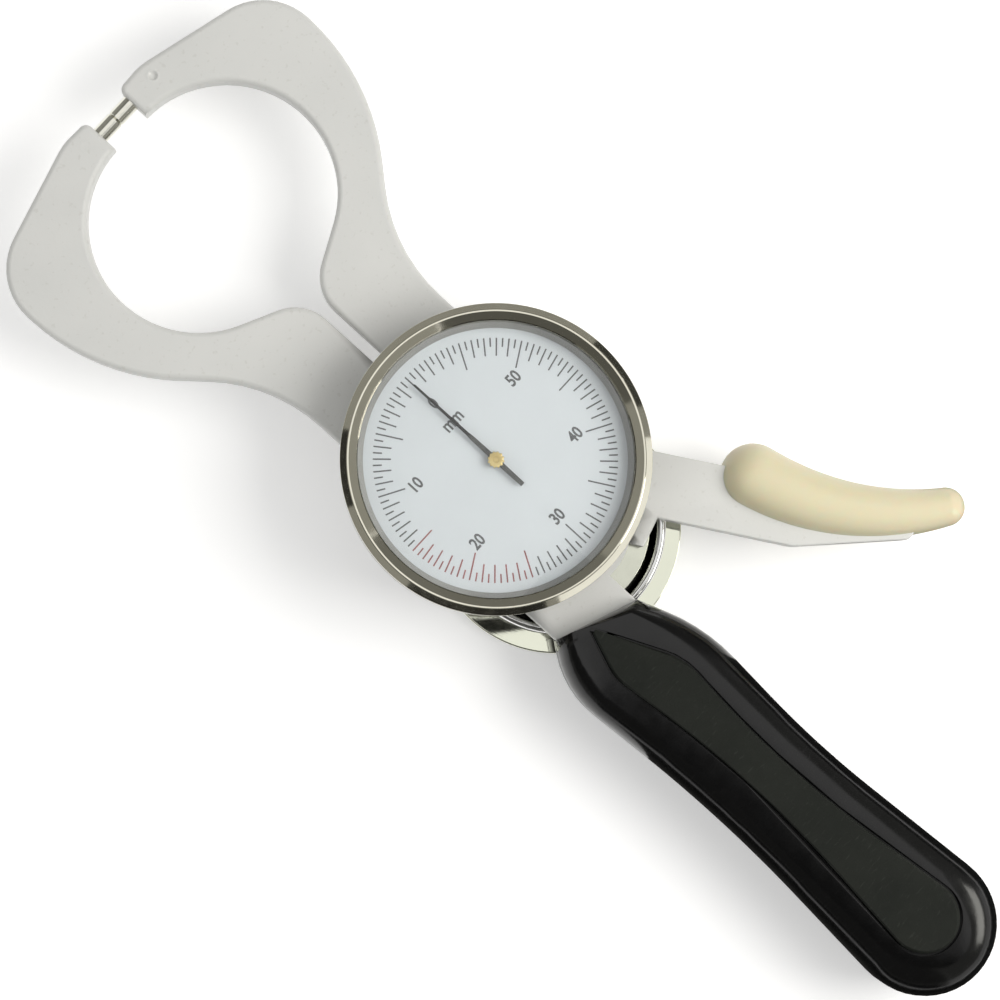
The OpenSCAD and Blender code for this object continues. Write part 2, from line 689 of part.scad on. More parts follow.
pillar_side_r = case_r / 2;       // from the dial's centre to the two pillars beside it
pillar_top_r = case_r * 7 / 12;   // and to the one beyond it
pillar_at = [for (q = [[pillar_side_r, 150], [pillar_side_r, 30], [pillar_top_r, 90]])
    [q[0] * cos(q[1]), dial_off + q[0] * sin(q[1])]];
pillar_foot_r = 1.1;
bridge_screw_d = 1.6;
bridge_bite = 2.2;     // how far a bridge screw goes into its pillar
bridge_round = 4;      // the bridge's rounded corners
bridge_half_w = 19;
bridge_beyond = 24;    // how far the bridge goes past the dial's centre
bridge_before = 6;     // and how far towards the pivot
bridge_side_y = 7.5;   // where it is widest, past the dial's centre
spring_window_y = 10.5;
z_pinion = z_floor + 0.7;
pinion_h = 2.4;
z_collet = z_pinion + pinion_h;
collet_h = 0.7;
z_bridge = z_collet + collet_h + 0.3;
arbor_r = 0.6;
arbor_low_r = 0.5;

module arbor_bearing() {
    color([0.75, 0.6, 0.3])
    at_dial() difference() {
        translate([0, 0, z_case]) cylinder(r = bearing_r, h = floor_t + 0.3);
        translate([0, 0, z_case + 0.5]) cylinder(r = arbor_low_r + run_clear, h = floor_t + 1);
    }
}

module bridge_pillars() {
    color([0.75, 0.6, 0.3])
    for (p = pillar_at) translate([p[0], p[1], 0]) difference() {
        union() {
            translate([0, 0, z_case + 0.1]) cylinder(r = pillar_foot_r, h = floor_t);
            translate([0, 0, z_floor]) cylinder(r = pillar_r, h = z_bridge - z_floor);
        }
        translate([0, 0, z_bridge - bridge_bite - 0.3])
            cylinder(d = bridge_screw_d + 2 * seat_clear, h = bridge_bite + through);
    }
}

module bridge() {
    color([0.78, 0.63, 0.32])
    difference() {
        at_dial() translate([0, 0, z_bridge]) linear_extrude(bridge_t) polygon(rounded([
            [0, -bridge_before, bridge_round], [bridge_half_w, bridge_side_y, bridge_round],
            [0, bridge_beyond, bridge_round], [-bridge_half_w, bridge_side_y, bridge_round]
        ]));
        for (p = pillar_at) translate([p[0], p[1], z_bridge - through])
            cylinder(d = bridge_screw_d + 2 * loose_clear, h = bridge_t + 2 * through);
        at_dial() translate([0, 0, z_bridge - through]) cylinder(r = arbor_r + run_clear, h = bridge_t + 2 * through);
        at_dial() translate([0, spring_window_y, z_bridge - through])
            cylinder(r = 0.75 * bridge_round, h = bridge_t + 2 * through);
    }
}

module bridge_screws() {
    color([0.6, 0.6, 0.58])
    for (p = pillar_at) translate([p[0], p[1], z_bridge + bridge_t])
        screw(bridge_screw_d, bridge_t + bridge_bite, 1.9 * bridge_screw_d, 0.44 * bridge_screw_d,
              0.25 * bridge_screw_d);
}

gear_m = 2 * dial_off / (sector_teeth + pinion_teeth);
sector_pitch = gear_m * sector_teeth / 2;
pinion_pitch = gear_m * pinion_teeth / 2;

// one tooth: half widths in degrees at the root, the pitch line and the tip
function tooth(a, r_root, r_pitch, r_tip, w_root, w_pitch, w_tip) = [
    r_root * [cos(a - w_root), sin(a - w_root)], r_pitch * [cos(a - w_pitch), sin(a - w_pitch)],
    r_tip * [cos(a - w_tip), sin(a - w_tip)], r_tip * [cos(a + w_tip), sin(a + w_tip)],
    r_pitch * [cos(a + w_pitch), sin(a + w_pitch)], r_root * [cos(a + w_root), sin(a + w_root)]
];

sector_step = 360 / sector_teeth;
pinion_step = 360 / pinion_teeth;
sector_first = -2;     // teeth before the one that meshes with the jaws closed
sector_last = 12;      // teeth after it

module sector_gear() {
    sp = sector_pitch;
    a_lo = 90 + (sector_first - 0.5) * sector_step;
    a_hi = 90 + (sector_last + 0.5) * sector_step;
    rim = sp - 1.25 * gear_m;
    color([0.8, 0.66, 0.35])
    difference() {
        translate([0, 0, z_sector]) linear_extrude(sector_t) polygon(concat(
            [[5.2, 0], [drive_r + 2.6, 3.2]],
            arc(drive_r * [cos(drive_a), sin(drive_a)], 2.6, drive_a - 60, drive_a + 110, 8),
            [[4.6, 7.6], rim * [cos(a_lo), sin(a_lo)]],
            [for (i = [sector_first : sector_last])
                each tooth(90 + i * sector_step, rim, sp, sp + 0.85 * gear_m,
                           sector_step * 0.27, sector_step * 0.2, sector_step * 0.09)],
            [rim * [cos(a_hi), sin(a_hi)]],
            [[-5.2, 3.4]],
            arc([0, 0], 5.2, 200, 350, 12)
        ));
        translate([0, 0, z_sector - through]) cylinder(r = gear_r + run_clear, h = sector_t + 2 * through);
        rotate(drive_a) translate([drive_r, 0, z_sector - through])
            cylinder(d = drive_d + 2 * seat_clear, h = sector_t + 2 * through);
        rotate(107) translate([9.4, 0, z_sector - through]) cylinder(r = 2.2, h = sector_t + 2 * through);
    }
}

module pinion_arbor() {
    pp = pinion_pitch;
    root = pp - 1.2 * gear_m;
    color([0.75, 0.75, 0.73])
    at_dial() {
        translate([0, 0, z_case + 0.6]) cylinder(r = arbor_low_r, h = z_pinion - z_case - 0.6 + eps);
        translate([0, 0, z_pinion]) linear_extrude(pinion_h) polygon([
            for (i = [0 : pinion_teeth - 1])
                each tooth(-90 + (i + 0.5) * pinion_step, root, pp, pp + 0.85 * gear_m,
                           pinion_step * 0.2, pinion_step * 0.17, pinion_step * 0.05)
        ]);
        translate([0, 0, z_collet - eps]) cylinder(r = arbor_r, h = z_hub_top - 0.2 - z_collet);
    }
}

module hairspring_collet() {
    color([0.75, 0.6, 0.3]) at_dial() translate([0, 0, z_collet]) ring(1.4, arbor_r + seat_clear, collet_h);
}

hair_turns = 5;
hair_in = 1.5;
hair_out = 7;
hair_t = 0.16;
function hair_point(f, side) =
    let (a = 360 * hair_turns * f, r = hair_in + (hair_out - hair_in) * f + side * hair_t / 2)
    r * [cos(a), sin(a)];

module hairspring() {
    n = hair_turns * 24;
    color([0.35, 0.4, 0.5])
    at_dial() translate([0, 0, z_collet + 0.1]) linear_extrude(0.5) polygon(concat(
        [for (i = [0 : n]) hair_point(i / n, 1)],
        [for (i = [n : -1 : 0]) hair_point(i / n, -1)]
    ));
}

module hairspring_stud() {
    color([0.75, 0.6, 0.3])
    at_dial() translate([hair_out + hair_t / 2 + 0.62, 0, z_collet]) cylinder(r = 0.6, h = z_bridge - z_collet);
}

// ---- dial, pointer, crystal and bezel ----

skirt_r = spigot_r + run_clear;
z_dial = z_rim + 0.6;
z_face = z_dial + dial_t;
z_ring_top = z_rim + spigot_h + 0.15;
flange_t = 0.4;
z_crystal = z_ring_top + flange_t;
z_crystal_top = z_crystal + crystal_t;
gasket_t = 0.3;
z_lip = z_crystal_top + gasket_t;
ring_r = case_r - case_wall - 0.2;
glass_r = spigot_r - 0.4;
z_pointer = z_face + 1.1;
pointer_t = 0.25;
z_hub_top = z_pointer + pointer_t + 0.5;

module dial_plate() {
    color([0.85, 0.88, 0.9])
    at_dial() difference() {
        translate([0, 0, z_dial]) cylinder(r = ring_r, h = dial_t, $fn = 120);
        translate([0, 0, z_dial - through]) cylinder(r = 1.1, h = dial_t + 2 * through);
    }
}

module dial_ring() {
    color([0.6, 0.6, 0.57])
    at_dial() rotate_extrude($fn = 120) polygon([
        [dial_r, z_face], [ring_r, z_face], [ring_r, z_ring_top], [glass_r, z_ring_top],
        [glass_r, z_crystal], [window_r - 0.1, z_crystal], [dial_r, z_face + 0.5]
    ]);
}

module crystal() {
    rise = crystal_dome;
    ball = (glass_r * glass_r + rise * rise) / (2 * rise);
    color([0.85, 0.92, 0.95, 0.35])
    at_dial() rotate_extrude($fn = 120) polygon(concat(
        [[0, z_crystal + 0.02], [glass_r - 0.05, z_crystal + 0.02]],
        arc([0, z_crystal_top + rise - ball], ball, 90 - asin((glass_r - 0.05) / ball), 90, 12)
    ));
}

module crystal_gasket() {
    color([0.1, 0.1, 0.1]) at_dial() translate([0, 0, z_crystal_top + 0.1]) ring(glass_r - 0.1, window_r + 0.4, gasket_t - 0.12);
}

module bezel() {
    z0 = z_rim + 0.15;
    color([0.72, 0.7, 0.62])
    at_dial() rotate_extrude($fn = 120) polygon([
        [skirt_r, z0], [case_r, z0], [case_r, z_bezel_top - 1.3], [case_r - 0.25, z_bezel_top - 0.9],
        [crest_r + 0.15, z_bezel_top - 0.1], [crest_r, z_bezel_top], [crest_r - 0.3, z_bezel_top],
        [window_r + 0.25, z_lip + 0.7], [window_r, z_lip + 0.4], [window_r, z_lip],
        [glass_r + 0.05, z_lip], [glass_r + 0.05, z_ring_top - 0.05], [skirt_r, z_ring_top - 0.05],
        [skirt_r, snap_z + snap_r + 0.1], [skirt_r + snap_r, snap_z + snap_r + 0.1],
        [skirt_r + snap_r, snap_z - snap_r - 0.1], [skirt_r, snap_z - snap_r - 0.1]
    ]);
}

module bezel_snap_ring() {
    color([0.55, 0.55, 0.55])
    at_dial() difference() {
        translate([0, 0, snap_z]) rotate_extrude($fn = 96) translate([spigot_r, 0]) circle(r = snap_r - 0.06, $fn = 16);
        translate([0, -2, snap_z - 1]) cube([case_r + 1, 4, 2]);
    }
}

// the pointer lies along +Y, its tail along -Y
module pointer() {
    kink = 0.3 * pointer_l;
    color([0.1, 0.1, 0.1])
    at_dial() difference() {
        translate([0, 0, z_pointer]) linear_extrude(pointer_t) union() {
            polygon([
                [-0.6, -pointer_tail], [0.6, -pointer_tail], [0.6, kink - 1], [0.2, kink + 1.5],
                [0.07, pointer_l], [-0.07, pointer_l], [-0.2, kink + 1.5], [-0.6, kink - 1]
            ]);
            circle(r = pointer_hub_r - 0.2);
        }
        translate([0, 0, z_pointer - through]) cylinder(r = arbor_r + seat_clear, h = 3);
    }
}

module pointer_hub() {
    color([0.8, 0.62, 0.28])
    at_dial() rotate_extrude() polygon([
        [arbor_r + seat_clear, z_pointer + pointer_t], [pointer_hub_r, z_pointer + pointer_t],
        [pointer_hub_r, z_hub_top - 0.25], [pointer_hub_r - 0.25, z_hub_top], [arbor_r + seat_clear, z_hub_top]
    ]);
}

// ---- handle ----

handle_c = [-handle_x, -30];
handle_half_l = handle_end_y + handle_end_r - 30;
waist_out = -0.9;      // how far the waist's corners stand in from the waist
waist_in = -0.5;
end_ang = 4.3;         // the sides run on into the round end at this angle
end_c = [-handle_x, -handle_end_y];
mouth_out = [-handle_x - 7.75, -14.4];
mouth_in = [-handle_x + 8.85, -20.85];
shoulder_out = [-handle_x - 13.95, -22.5];
shoulder_in = [-handle_x + 13.85, -34.3];
waist_l = [-handle_x - waist_w - waist_out, -62.9];
waist_r = [-handle_x + waist_w + waist_in, -65.8];
end_l = end_c - handle_end_r * [cos(end_ang), -sin(end_ang)];
end_r = end_c + handle_end_r * [cos(end_ang), sin(end_ang)];
handle_outline = concat(
    [mouth_out],
    corner(mouth_out, [shoulder_out[0], shoulder_out[1], 20], waist_l),
    corner(shoulder_out, [waist_l[0], waist_l[1], 300], end_l),
    arc(end_c, handle_end_r, 180 - end_ang, 360 + end_ang, 24),
    corner(end_r, [waist_r[0], waist_r[1], 196], shoulder_in),
    corner(waist_r, [shoulder_in[0], shoulder_in[1], 38], mouth_in),
    [mouth_in]
);

// the handle's outline drawn in by d all round, at height z
function handle_ring(d, z) = [for (p = handle_outline)
    [handle_c[0] + (p[0] - handle_c[0]) * (1 - d / handle_end_r),
     handle_c[1] + (p[1] - handle_c[1]) * (1 - d / handle_half_l), z]];

round_steps = 7;
module handle_half() {
    flat = handle_t / 2 - handle_round_h;
    skin(concat(
        [handle_ring(0.3, 0.06), handle_ring(0, 0.4)],
        [for (i = [0 : round_steps])
            let (b = 90 * i / round_steps)
            handle_ring(handle_round * (1 - cos(b)), flat + handle_round_h * sin(b))]
    ));
}

panel_end = [-handle_x + 0.45, -handle_end_y + 1.9];
panel_r = 7.5;         // radius of the panel's round end
panel_tip = [-handle_x - 1.9, -16.6];
panel_out = [-handle_x - 6.15, -27.2];
panel_in = [-handle_x + 6.55, -35];
panel_l = [-handle_x - 2.3, waist_l[1]];
panel_k = [-handle_x + 3.45, waist_l[1]];
panel_outline = concat(
    corner(panel_in, [panel_tip[0], panel_tip[1], 0.6], panel_out),
    corner(panel_tip, [panel_out[0], panel_out[1], 9], panel_l),
    corner(panel_out, [panel_l[0], panel_l[1], 210], panel_end - panel_r * [cos(end_ang), -sin(end_ang)]),
    arc(panel_end, panel_r, 180 - end_ang, 360 + end_ang, 18),
    corner(panel_end + panel_r * [cos(end_ang), sin(end_ang)], [panel_k[0], panel_k[1], 210], panel_in),
    corner(panel_k, [panel_in[0], panel_in[1], 14], panel_tip)
);
panel_c = [-handle_x, -66];
function panel_ring(d, z) = [for (p = panel_outline)
    [panel_c[0] + (p[0] - panel_c[0]) * (1 - d / 7), panel_c[1] + (p[1] - panel_c[1]) * (1 - d / 47), z]];
panel_recess = 1.2;

module tang_pocket() {
    offset_w = 0.2;
    translate([0, 0, -arm_t / 2 - 0.05]) linear_extrude(arm_t + 0.1) polygon([
        [-strip_out - offset_w, -10], [-strip_out - offset_w, tang_top_y + 4],
        [-handle_x - tang_w - offset_w, tang_top_y - 0.2], [-handle_x - tang_w - offset_w, tang_end_y - 0.2],
        [-handle_x + tang_w + offset_w, tang_end_y - 0.2], [-handle_x + tang_w + offset_w, tang_top_y - 0.2],
        [-strip_x + offset_w, tang_top_y + 2.3], [-strip_x + offset_w, -10]
    ]);
}

// hollows that keep the moulding's wall even, between the screw bosses
hollow_at = [[-50.5, 19], [-82.5, 18]];
module hollows(depth) {
    for (h = hollow_at) translate([-handle_x - 6.5, h[0] - h[1] / 2, -eps]) cube([13, h[1], depth]);
}

module handle_front_shell() {
    color([0.09, 0.09, 0.09])
    translate([0, 0, z_mid]) difference() {
        handle_half();
        tang_pocket();
        hollows(handle_t / 2 - panel_recess - 2);
        translate([0, 0, handle_t / 2 - panel_recess]) linear_extrude(3) polygon(panel_outline);
        for (y = handle_screw_y) translate([-handle_x, y, -through])
            cylinder(d = handle_screw_d + 2 * seat_clear, h = handle_t / 2 - panel_recess - 1 + through);
    }
}

screw_head_d = 5.6;
screw_head_h = 2;
module handle_back_shell() {
    color([0.09, 0.09, 0.09])
    translate([0, 0, z_mid]) mirror([0, 0, 1]) difference() {
        handle_half();
        tang_pocket();
        hollows(handle_t / 2 - 2.5);
        // room for the spring's coils at the mouth
        translate([0, 0, arm_t / 2]) cylinder(r = coil_r + wire_r + 0.9, h = handle_t);
        for (y = handle_screw_y) translate([-handle_x, y, -through])
            cylinder(d = handle_screw_d + 2 * loose_clear, h = handle_t);
        for (y = handle_screw_y) translate([-handle_x, y, handle_t / 2 - screw_head_h - 0.6])
            cylinder(d = screw_head_d + 2 * loose_clear, h = handle_t);
    }
}

module handle_panel() {
    z0 = z_mid + handle_t / 2 - panel_recess;
    color([0.17, 0.18, 0.17])
    skin([panel_ring(0.35, z0), panel_ring(0.35, z0 + panel_t - 0.35),
          panel_ring(0.45, z0 + panel_t - 0.1), panel_ring(0.8, z0 + panel_t)]);
}

module handle_screws() {
    color([0.6, 0.6, 0.6])
    for (y = handle_screw_y)
        translate([-handle_x, y, z_mid - handle_t / 2 + screw_head_h + 0.6]) mirror([0, 0, 1])
            screw(handle_screw_d, handle_t - screw_head_h - panel_recess - 2.4, screw_head_d, screw_head_h, 0.9);
}

fixed_arm();
fixed_tip();
fixed_tip_screw();
pivot_shaft();
shaft_clip();
handle_front_shell();
handle_back_shell();
handle_panel();
handle_screws();
moving_arm();
moving_tip();
moving_tip_screw();
lever_grip();
grip_pins();
pivot_bushing();
drive_pin();
spring_seat();
seat_screws();
torsion_spring();
sector_gear();
sector_clip();
pressure_knob();
knob_washer();
knob_nut();
gauge_case();
case_screws();
arbor_bearing();
bridge_pillars();
bridge();
bridge_screws();
hairspring();
hairspring_stud();
pinion_arbor();
hairspring_collet();
pointer();
pointer_hub();
bezel();
bezel_snap_ring();
crystal();
crystal_gasket();
dial_plate();
dial_ring();
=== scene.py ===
# A skinfold caliper lying on a white table, seen from above.
# Lengths are in millimetres, times MM, in the part's own frame: pivot at the origin, jaws towards +Y.
import math

import bmesh
import bpy
from mathutils import Matrix, Vector


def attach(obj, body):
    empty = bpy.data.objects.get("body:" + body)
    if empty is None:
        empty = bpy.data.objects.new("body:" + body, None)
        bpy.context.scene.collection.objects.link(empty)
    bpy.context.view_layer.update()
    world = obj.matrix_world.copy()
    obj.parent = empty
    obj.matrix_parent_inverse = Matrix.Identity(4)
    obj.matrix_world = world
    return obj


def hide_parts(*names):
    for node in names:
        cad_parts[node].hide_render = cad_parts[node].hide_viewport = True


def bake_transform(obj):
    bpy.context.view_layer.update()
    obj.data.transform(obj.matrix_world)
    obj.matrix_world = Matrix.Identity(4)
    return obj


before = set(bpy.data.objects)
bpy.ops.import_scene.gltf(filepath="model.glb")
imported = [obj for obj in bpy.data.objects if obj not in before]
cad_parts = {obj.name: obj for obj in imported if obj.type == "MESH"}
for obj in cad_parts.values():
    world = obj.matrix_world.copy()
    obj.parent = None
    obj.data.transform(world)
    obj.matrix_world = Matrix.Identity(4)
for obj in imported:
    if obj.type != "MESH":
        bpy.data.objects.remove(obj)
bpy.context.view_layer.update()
MM = 0.001

# ---- table, light and camera ----
# A white table top under two soft lamps. Screens round it, a dark mat and one bright card show only in
# polished metal and gloss, which don't see the lamps. They give the plated rings and the wire their bands.


def node(tree, kind, links=None, **settings):
    """A node in a tree: links are its inputs, each a socket or a plain value."""
    made = tree.nodes.new(kind)
    for name, value in settings.items():
        setattr(made, name, value)
    for name, value in (links or {}).items():
        if isinstance(value, bpy.types.NodeSocket):
            tree.links.new(value, made.inputs[name])
        else:
            made.inputs[name].default_value = value
    return made


def seen_directly(tree):
    """1 for rays from the camera, off polished metal and through glass, else 0."""
    path = node(tree, "ShaderNodeLightPath")
    either = node(tree, "ShaderNodeMath",
                  {0: path.outputs["Is Camera Ray"], 1: path.outputs["Is Glossy Ray"]}, operation="MAXIMUM")
    any_of = node(tree, "ShaderNodeMath", {0: either.outputs[0], 1: path.outputs["Is Transmission Ray"]},
                  operation="MAXIMUM")
    no_light = node(tree, "ShaderNodeMath", {0: path.outputs["Diffuse Depth"], 1: 0.5}, operation="LESS_THAN")
    direct = node(tree, "ShaderNodeMath", {0: any_of.outputs[0], 1: no_light.outputs[0]}, operation="MULTIPLY")
    return direct.outputs[0]


def finish_tree(name):
    """A new material: its tree, its shader and the place on the piece."""
    made = bpy.data.materials.new(name)
    made.use_nodes = True
    tree = made.node_tree
    place = node(tree, "ShaderNodeTexCoord").outputs["Object"]
    return made, tree, tree.nodes["Principled BSDF"], place


TABLE_HALF = 1.6  # metres
TABLE_TOP = -0.02  # millimetres: just clear of the knob that lies on it
table_corners = [(x * TABLE_HALF, y * TABLE_HALF, TABLE_TOP * MM) for x, y in ((-1, -1), (1, -1), (1, 1), (-1, 1))]
table_mesh = bpy.data.meshes.new("table")
table_mesh.from_pydata(table_corners, [], [(0, 1, 2, 3)])
table = bpy.data.objects.new("table", table_mesh)
bpy.context.scene.collection.objects.link(table)
table_white, tree, shader, place = finish_tree("table_white")
table_tone = node(tree, "ShaderNodeMix",
                  {"Factor": seen_directly(tree), "A": (0.8, 0.8, 0.8, 1), "B": (1, 1, 1, 1)}, data_type="RGBA")
tree.links.new(table_tone.outputs["Result"], shader.inputs["Base Color"])
# the paper glows a little to the camera, and more so far from the piece
far_off = node(tree, "ShaderNodeVectorMath", {0: place}, operation="LENGTH")
lift = node(tree, "ShaderNodeMapRange", {"Value": far_off.outputs["Value"], "From Min": 0.25, "From Max": 1.0,
                                         "To Min": 0.26, "To Max": 0.7})
paper_glow = node(tree, "ShaderNodeMath", {0: seen_directly(tree), 1: lift.outputs[0]}, operation="MULTIPLY")
shader.inputs["Emission Color"].default_value = (1, 1, 1, 1)
tree.links.new(paper_glow.outputs[0], shader.inputs["Emission Strength"])
shader.inputs["Roughness"].default_value = 0.9
shader.inputs["Specular IOR Level"].default_value = 0.1
table_mesh.materials.append(table_white)

room = bpy.data.worlds.new("room")
room.use_nodes = True
bpy.context.scene.world = room
tree = room.node_tree
room_level = node(tree, "ShaderNodeMix", {"Factor": seen_directly(tree), "A": 0.50, "B": 1.0})
tree.nodes["Background"].inputs["Color"].default_value = (1.0, 0.995, 0.98, 1)
tree.links.new(room_level.outputs["Result"], tree.nodes["Background"].inputs["Strength"])


def lamp(name, at, look_at, size, watts, colour):
    """A square soft box. It lights the piece, and polished metal sees the screens in its place."""
    light = bpy.data.lights.new(name, "AREA")
    light.shape = "SQUARE"
    light.size = size
    light.energy = watts
    light.color = colour
    lit = bpy.data.objects.new(name, light)
    aim = (Vector(look_at) - Vector(at)).to_track_quat("-Z", "Y")
    lit.matrix_world = Matrix.Translation(at) @ aim.to_matrix().to_4x4()
    bpy.context.scene.collection.objects.link(lit)
    lit.visible_glossy = False


lamp("soft_box_right", (0.24, -0.23, 0.42), (0.0, 0.0, 0.0), 0.36, 2.0, (1.0, 0.985, 0.955))
lamp("soft_box_left", (-0.45, 0.40, 0.75), (0.0, 0.02, 0.0), 0.6, 0.65, (0.96, 0.98, 1.0))


def screen(name, corners, faces, grey):
    """A grey screen that only shows in polished metal and gloss."""
    screen_mesh = bpy.data.meshes.new(name)
    screen_mesh.from_pydata(corners, [], faces)
    made = bpy.data.objects.new(name, screen_mesh)
    bpy.context.scene.collection.objects.link(made)
    tone, _, shader, _ = finish_tree(name + "_tone")
    shader.inputs["Base Color"].default_value = (0, 0, 0, 1)
    shader.inputs["Specular IOR Level"].default_value = 0.0
    shader.inputs["Emission Color"].default_value = (grey, grey * 0.99, grey * 0.92, 1)
    shader.inputs["Emission Strength"].default_value = 1.0
    screen_mesh.materials.append(tone)
    for ray in ("camera", "diffuse", "shadow", "transmission"):
        setattr(made, "visible_" + ray, False)


# screens round the table: azimuth and width in degrees, distance and height of the lower and the upper
# edge in metres, grey
ROUND_SCREENS = [
    (107, 285, (0.66, 0.012), (0.66, 0.20), 0.28),
    (132, 30, (0.62, 0.006), (0.62, 0.16), 0.03),
    (350, 28, (0.62, 0.006), (0.62, 0.16), 0.05),
    (215, 58, (0.62, 0.006), (0.62, 0.16), 0.02),
    (200, 100, (0.655, 0.20), (0.42, 0.66), 0.10),
    (-61, 96, (0.655, 0.20), (0.42, 0.66), 0.30),
    (37, 98, (0.655, 0.20), (0.42, 0.66), 0.17),
    (118, 66, (0.65, 0.20), (0.42, 0.66), 0.28),
]
for number, (azimuth, width, lower, upper, grey) in enumerate(ROUND_SCREENS):
    steps = 4 + width // 10
    turns = [math.radians(azimuth + width * (step / steps - 0.5)) for step in range(steps + 1)]
    corners = [(away * math.cos(a), away * math.sin(a), z) for away, z in (lower, upper) for a in turns]
    screen(f"screen_{number}", corners, [(i, i + 1, i + steps + 2, i + steps + 1) for i in range(steps)], grey)


def level_screen(name, outline, height, grey):
    """A screen that hangs or lies level, from its (x, y) corners in metres."""
    screen(name, [(x, y, height) for x, y in outline], [tuple(range(len(outline)))], grey)


level_screen("screen_over_handle", [(-0.42, -0.42), (0.036, -0.42), (0.036, -0.07), (-0.42, -0.07)], 0.65, 0.04)
level_screen("screen_over_knob", [(-0.028, -0.0026), (-0.0209, -0.0085), (-0.0139, -0.0143), (-0.0128, -0.0095),
                                  (-0.0174, -0.0068), (-0.0214, -0.0034), (-0.0248, 0.0006)], 0.06, 0.015)
level_screen("mat_round_handle", [(-0.11, -0.26), (0.11, -0.26), (0.11, -0.045), (-0.11, -0.045)], 0.003, 0.03)
CARD_LOW, CARD_TOP, CARD_GLOW = 0.11, 0.19, 6.0
screen("card_past_handle", [(0.07, -0.275, CARD_LOW), (0.165, -0.19, CARD_LOW), (0.15, -0.175, CARD_TOP),
                            (0.055, -0.26, CARD_TOP)], [(0, 1, 2, 3)], CARD_GLOW)

lens = bpy.data.cameras.new("camera")
lens.lens = 108
lens.sensor_width = 36
lens.clip_start = 0.01
camera = bpy.data.objects.new("camera", lens)
camera.matrix_world = Matrix((
    (0.67288, 0.73698, -0.06399, -42.074 * MM),
    (-0.73820, 0.67455, 0.00643, 15.920 * MM),
    (0.04790, 0.04291, 0.99793, 605.50 * MM),
    (0, 0, 0, 1),
))
bpy.context.scene.collection.objects.link(camera)
bpy.context.scene.camera = camera
bpy.context.scene.view_settings.view_transform = "Standard"

# ---- fixed arm ----
# The lower jaw, cast in light alloy and painted pale grey. Its strip runs on into the handle, and the
# gauge and the pivot shaft are mounted on it. The paint draws its edges round.


def node_group(name, tree_kind, inputs, outputs):
    """An empty node group: inputs are [label, socket kind, value if any], outputs are [label, kind]."""
    tree = bpy.data.node_groups.new(name, tree_kind)
    for label, kind, *value in inputs:
        socket = tree.interface.new_socket(label, in_out="INPUT", socket_type="NodeSocket" + kind)
        if value:
            socket.default_value = value[0]
    for label, kind in outputs:
        tree.interface.new_socket(label, in_out="OUTPUT", socket_type="NodeSocket" + kind)
    return tree, tree.nodes.new("NodeGroupInput").outputs, tree.nodes.new("NodeGroupOutput").inputs


# the slow change of colour and gloss over a surface
uneven_tone, given, put = node_group(
    "uneven_tone", "ShaderNodeTree",
    [("Place", "Vector"), ("Colour", "Color", (1, 1, 1, 1)), ("Other Colour", "Color", (0.9, 0.9, 0.9, 1)),
     ("Patches", "Float", 80.0), ("Smooth", "Float", 0.3), ("Dull", "Float", 0.4)],
    [("Colour", "Color"), ("Roughness", "Float")])
patches = node(uneven_tone, "ShaderNodeTexNoise",
               {"Vector": given["Place"], "Scale": given["Patches"], "Detail": 4.0})
spread = node(uneven_tone, "ShaderNodeMapRange", {"Value": patches.outputs[0], "From Min": 0.35, "From Max": 0.65})
mixed = node(uneven_tone, "ShaderNodeMix",
             {"Factor": spread.outputs[0], "A": given["Colour"], "B": given["Other Colour"]}, data_type="RGBA")
finer = node(uneven_tone, "ShaderNodeMath", {0: given["Patches"], 1: 5.0}, operation="MULTIPLY")
blotch = node(uneven_tone, "ShaderNodeTexNoise",
              {"Vector": given["Place"], "Scale": finer.outputs[0], "Detail": 3.0})
gloss = node(uneven_tone, "ShaderNodeMapRange", {"Value": blotch.outputs[0], "From Min": 0.3, "From Max": 0.7,
                                                 "To Min": given["Smooth"], "To Max": given["Dull"]})
uneven_tone.links.new(mixed.outputs["Result"], put["Colour"])
uneven_tone.links.new(gloss.outputs[0], put["Roughness"])

# the fine relief of a sprayed, moulded or cast skin
skin_relief, given, put = node_group(
    "skin_relief", "ShaderNodeTree",
    [("Place", "Vector"), ("Grain", "Float", 900.0), ("Waves", "Float", 120.0), ("Wave Share", "Float", 0.5)],
    [("Height", "Float")])
grain = node(skin_relief, "ShaderNodeTexNoise", {"Vector": given["Place"], "Scale": given["Grain"], "Detail": 2.0})
waves = node(skin_relief, "ShaderNodeTexNoise", {"Vector": given["Place"], "Scale": given["Waves"], "Detail": 1.0})
both = node(skin_relief, "ShaderNodeMix",
            {"Factor": given["Wave Share"], "A": grain.outputs[0], "B": waves.outputs[0]})
skin_relief.links.new(both.outputs["Result"], put["Height"])

# fine rubbed lines, long along one axis of the stretch
rubbed_lines, given, put = node_group(
    "rubbed_lines", "ShaderNodeTree",
    [("Place", "Vector"), ("Stretch", "Vector"), ("Lines", "Float", 1.0), ("Amount", "Float", 0.1)],
    [("Mask", "Float")])
drawn = node(rubbed_lines, "ShaderNodeVectorMath", {0: given["Place"], 1: given["Stretch"]}, operation="MULTIPLY")
line_noise = node(rubbed_lines, "ShaderNodeTexNoise",
                  {"Vector": drawn.outputs[0], "Scale": given["Lines"], "Detail": 3.0})
thin = node(rubbed_lines, "ShaderNodeMapRange",
            {"Value": line_noise.outputs[0], "From Min": 0.62, "From Max": 0.7})
faint = node(rubbed_lines, "ShaderNodeMath", {0: thin.outputs[0], 1: given["Amount"]}, operation="MULTIPLY")
rubbed_lines.links.new(faint.outputs[0], put["Mask"])


def use(tree, group, links):
    """One of the groups, placed in a material."""
    return node(tree, "ShaderNodeGroup", links, node_tree=group)


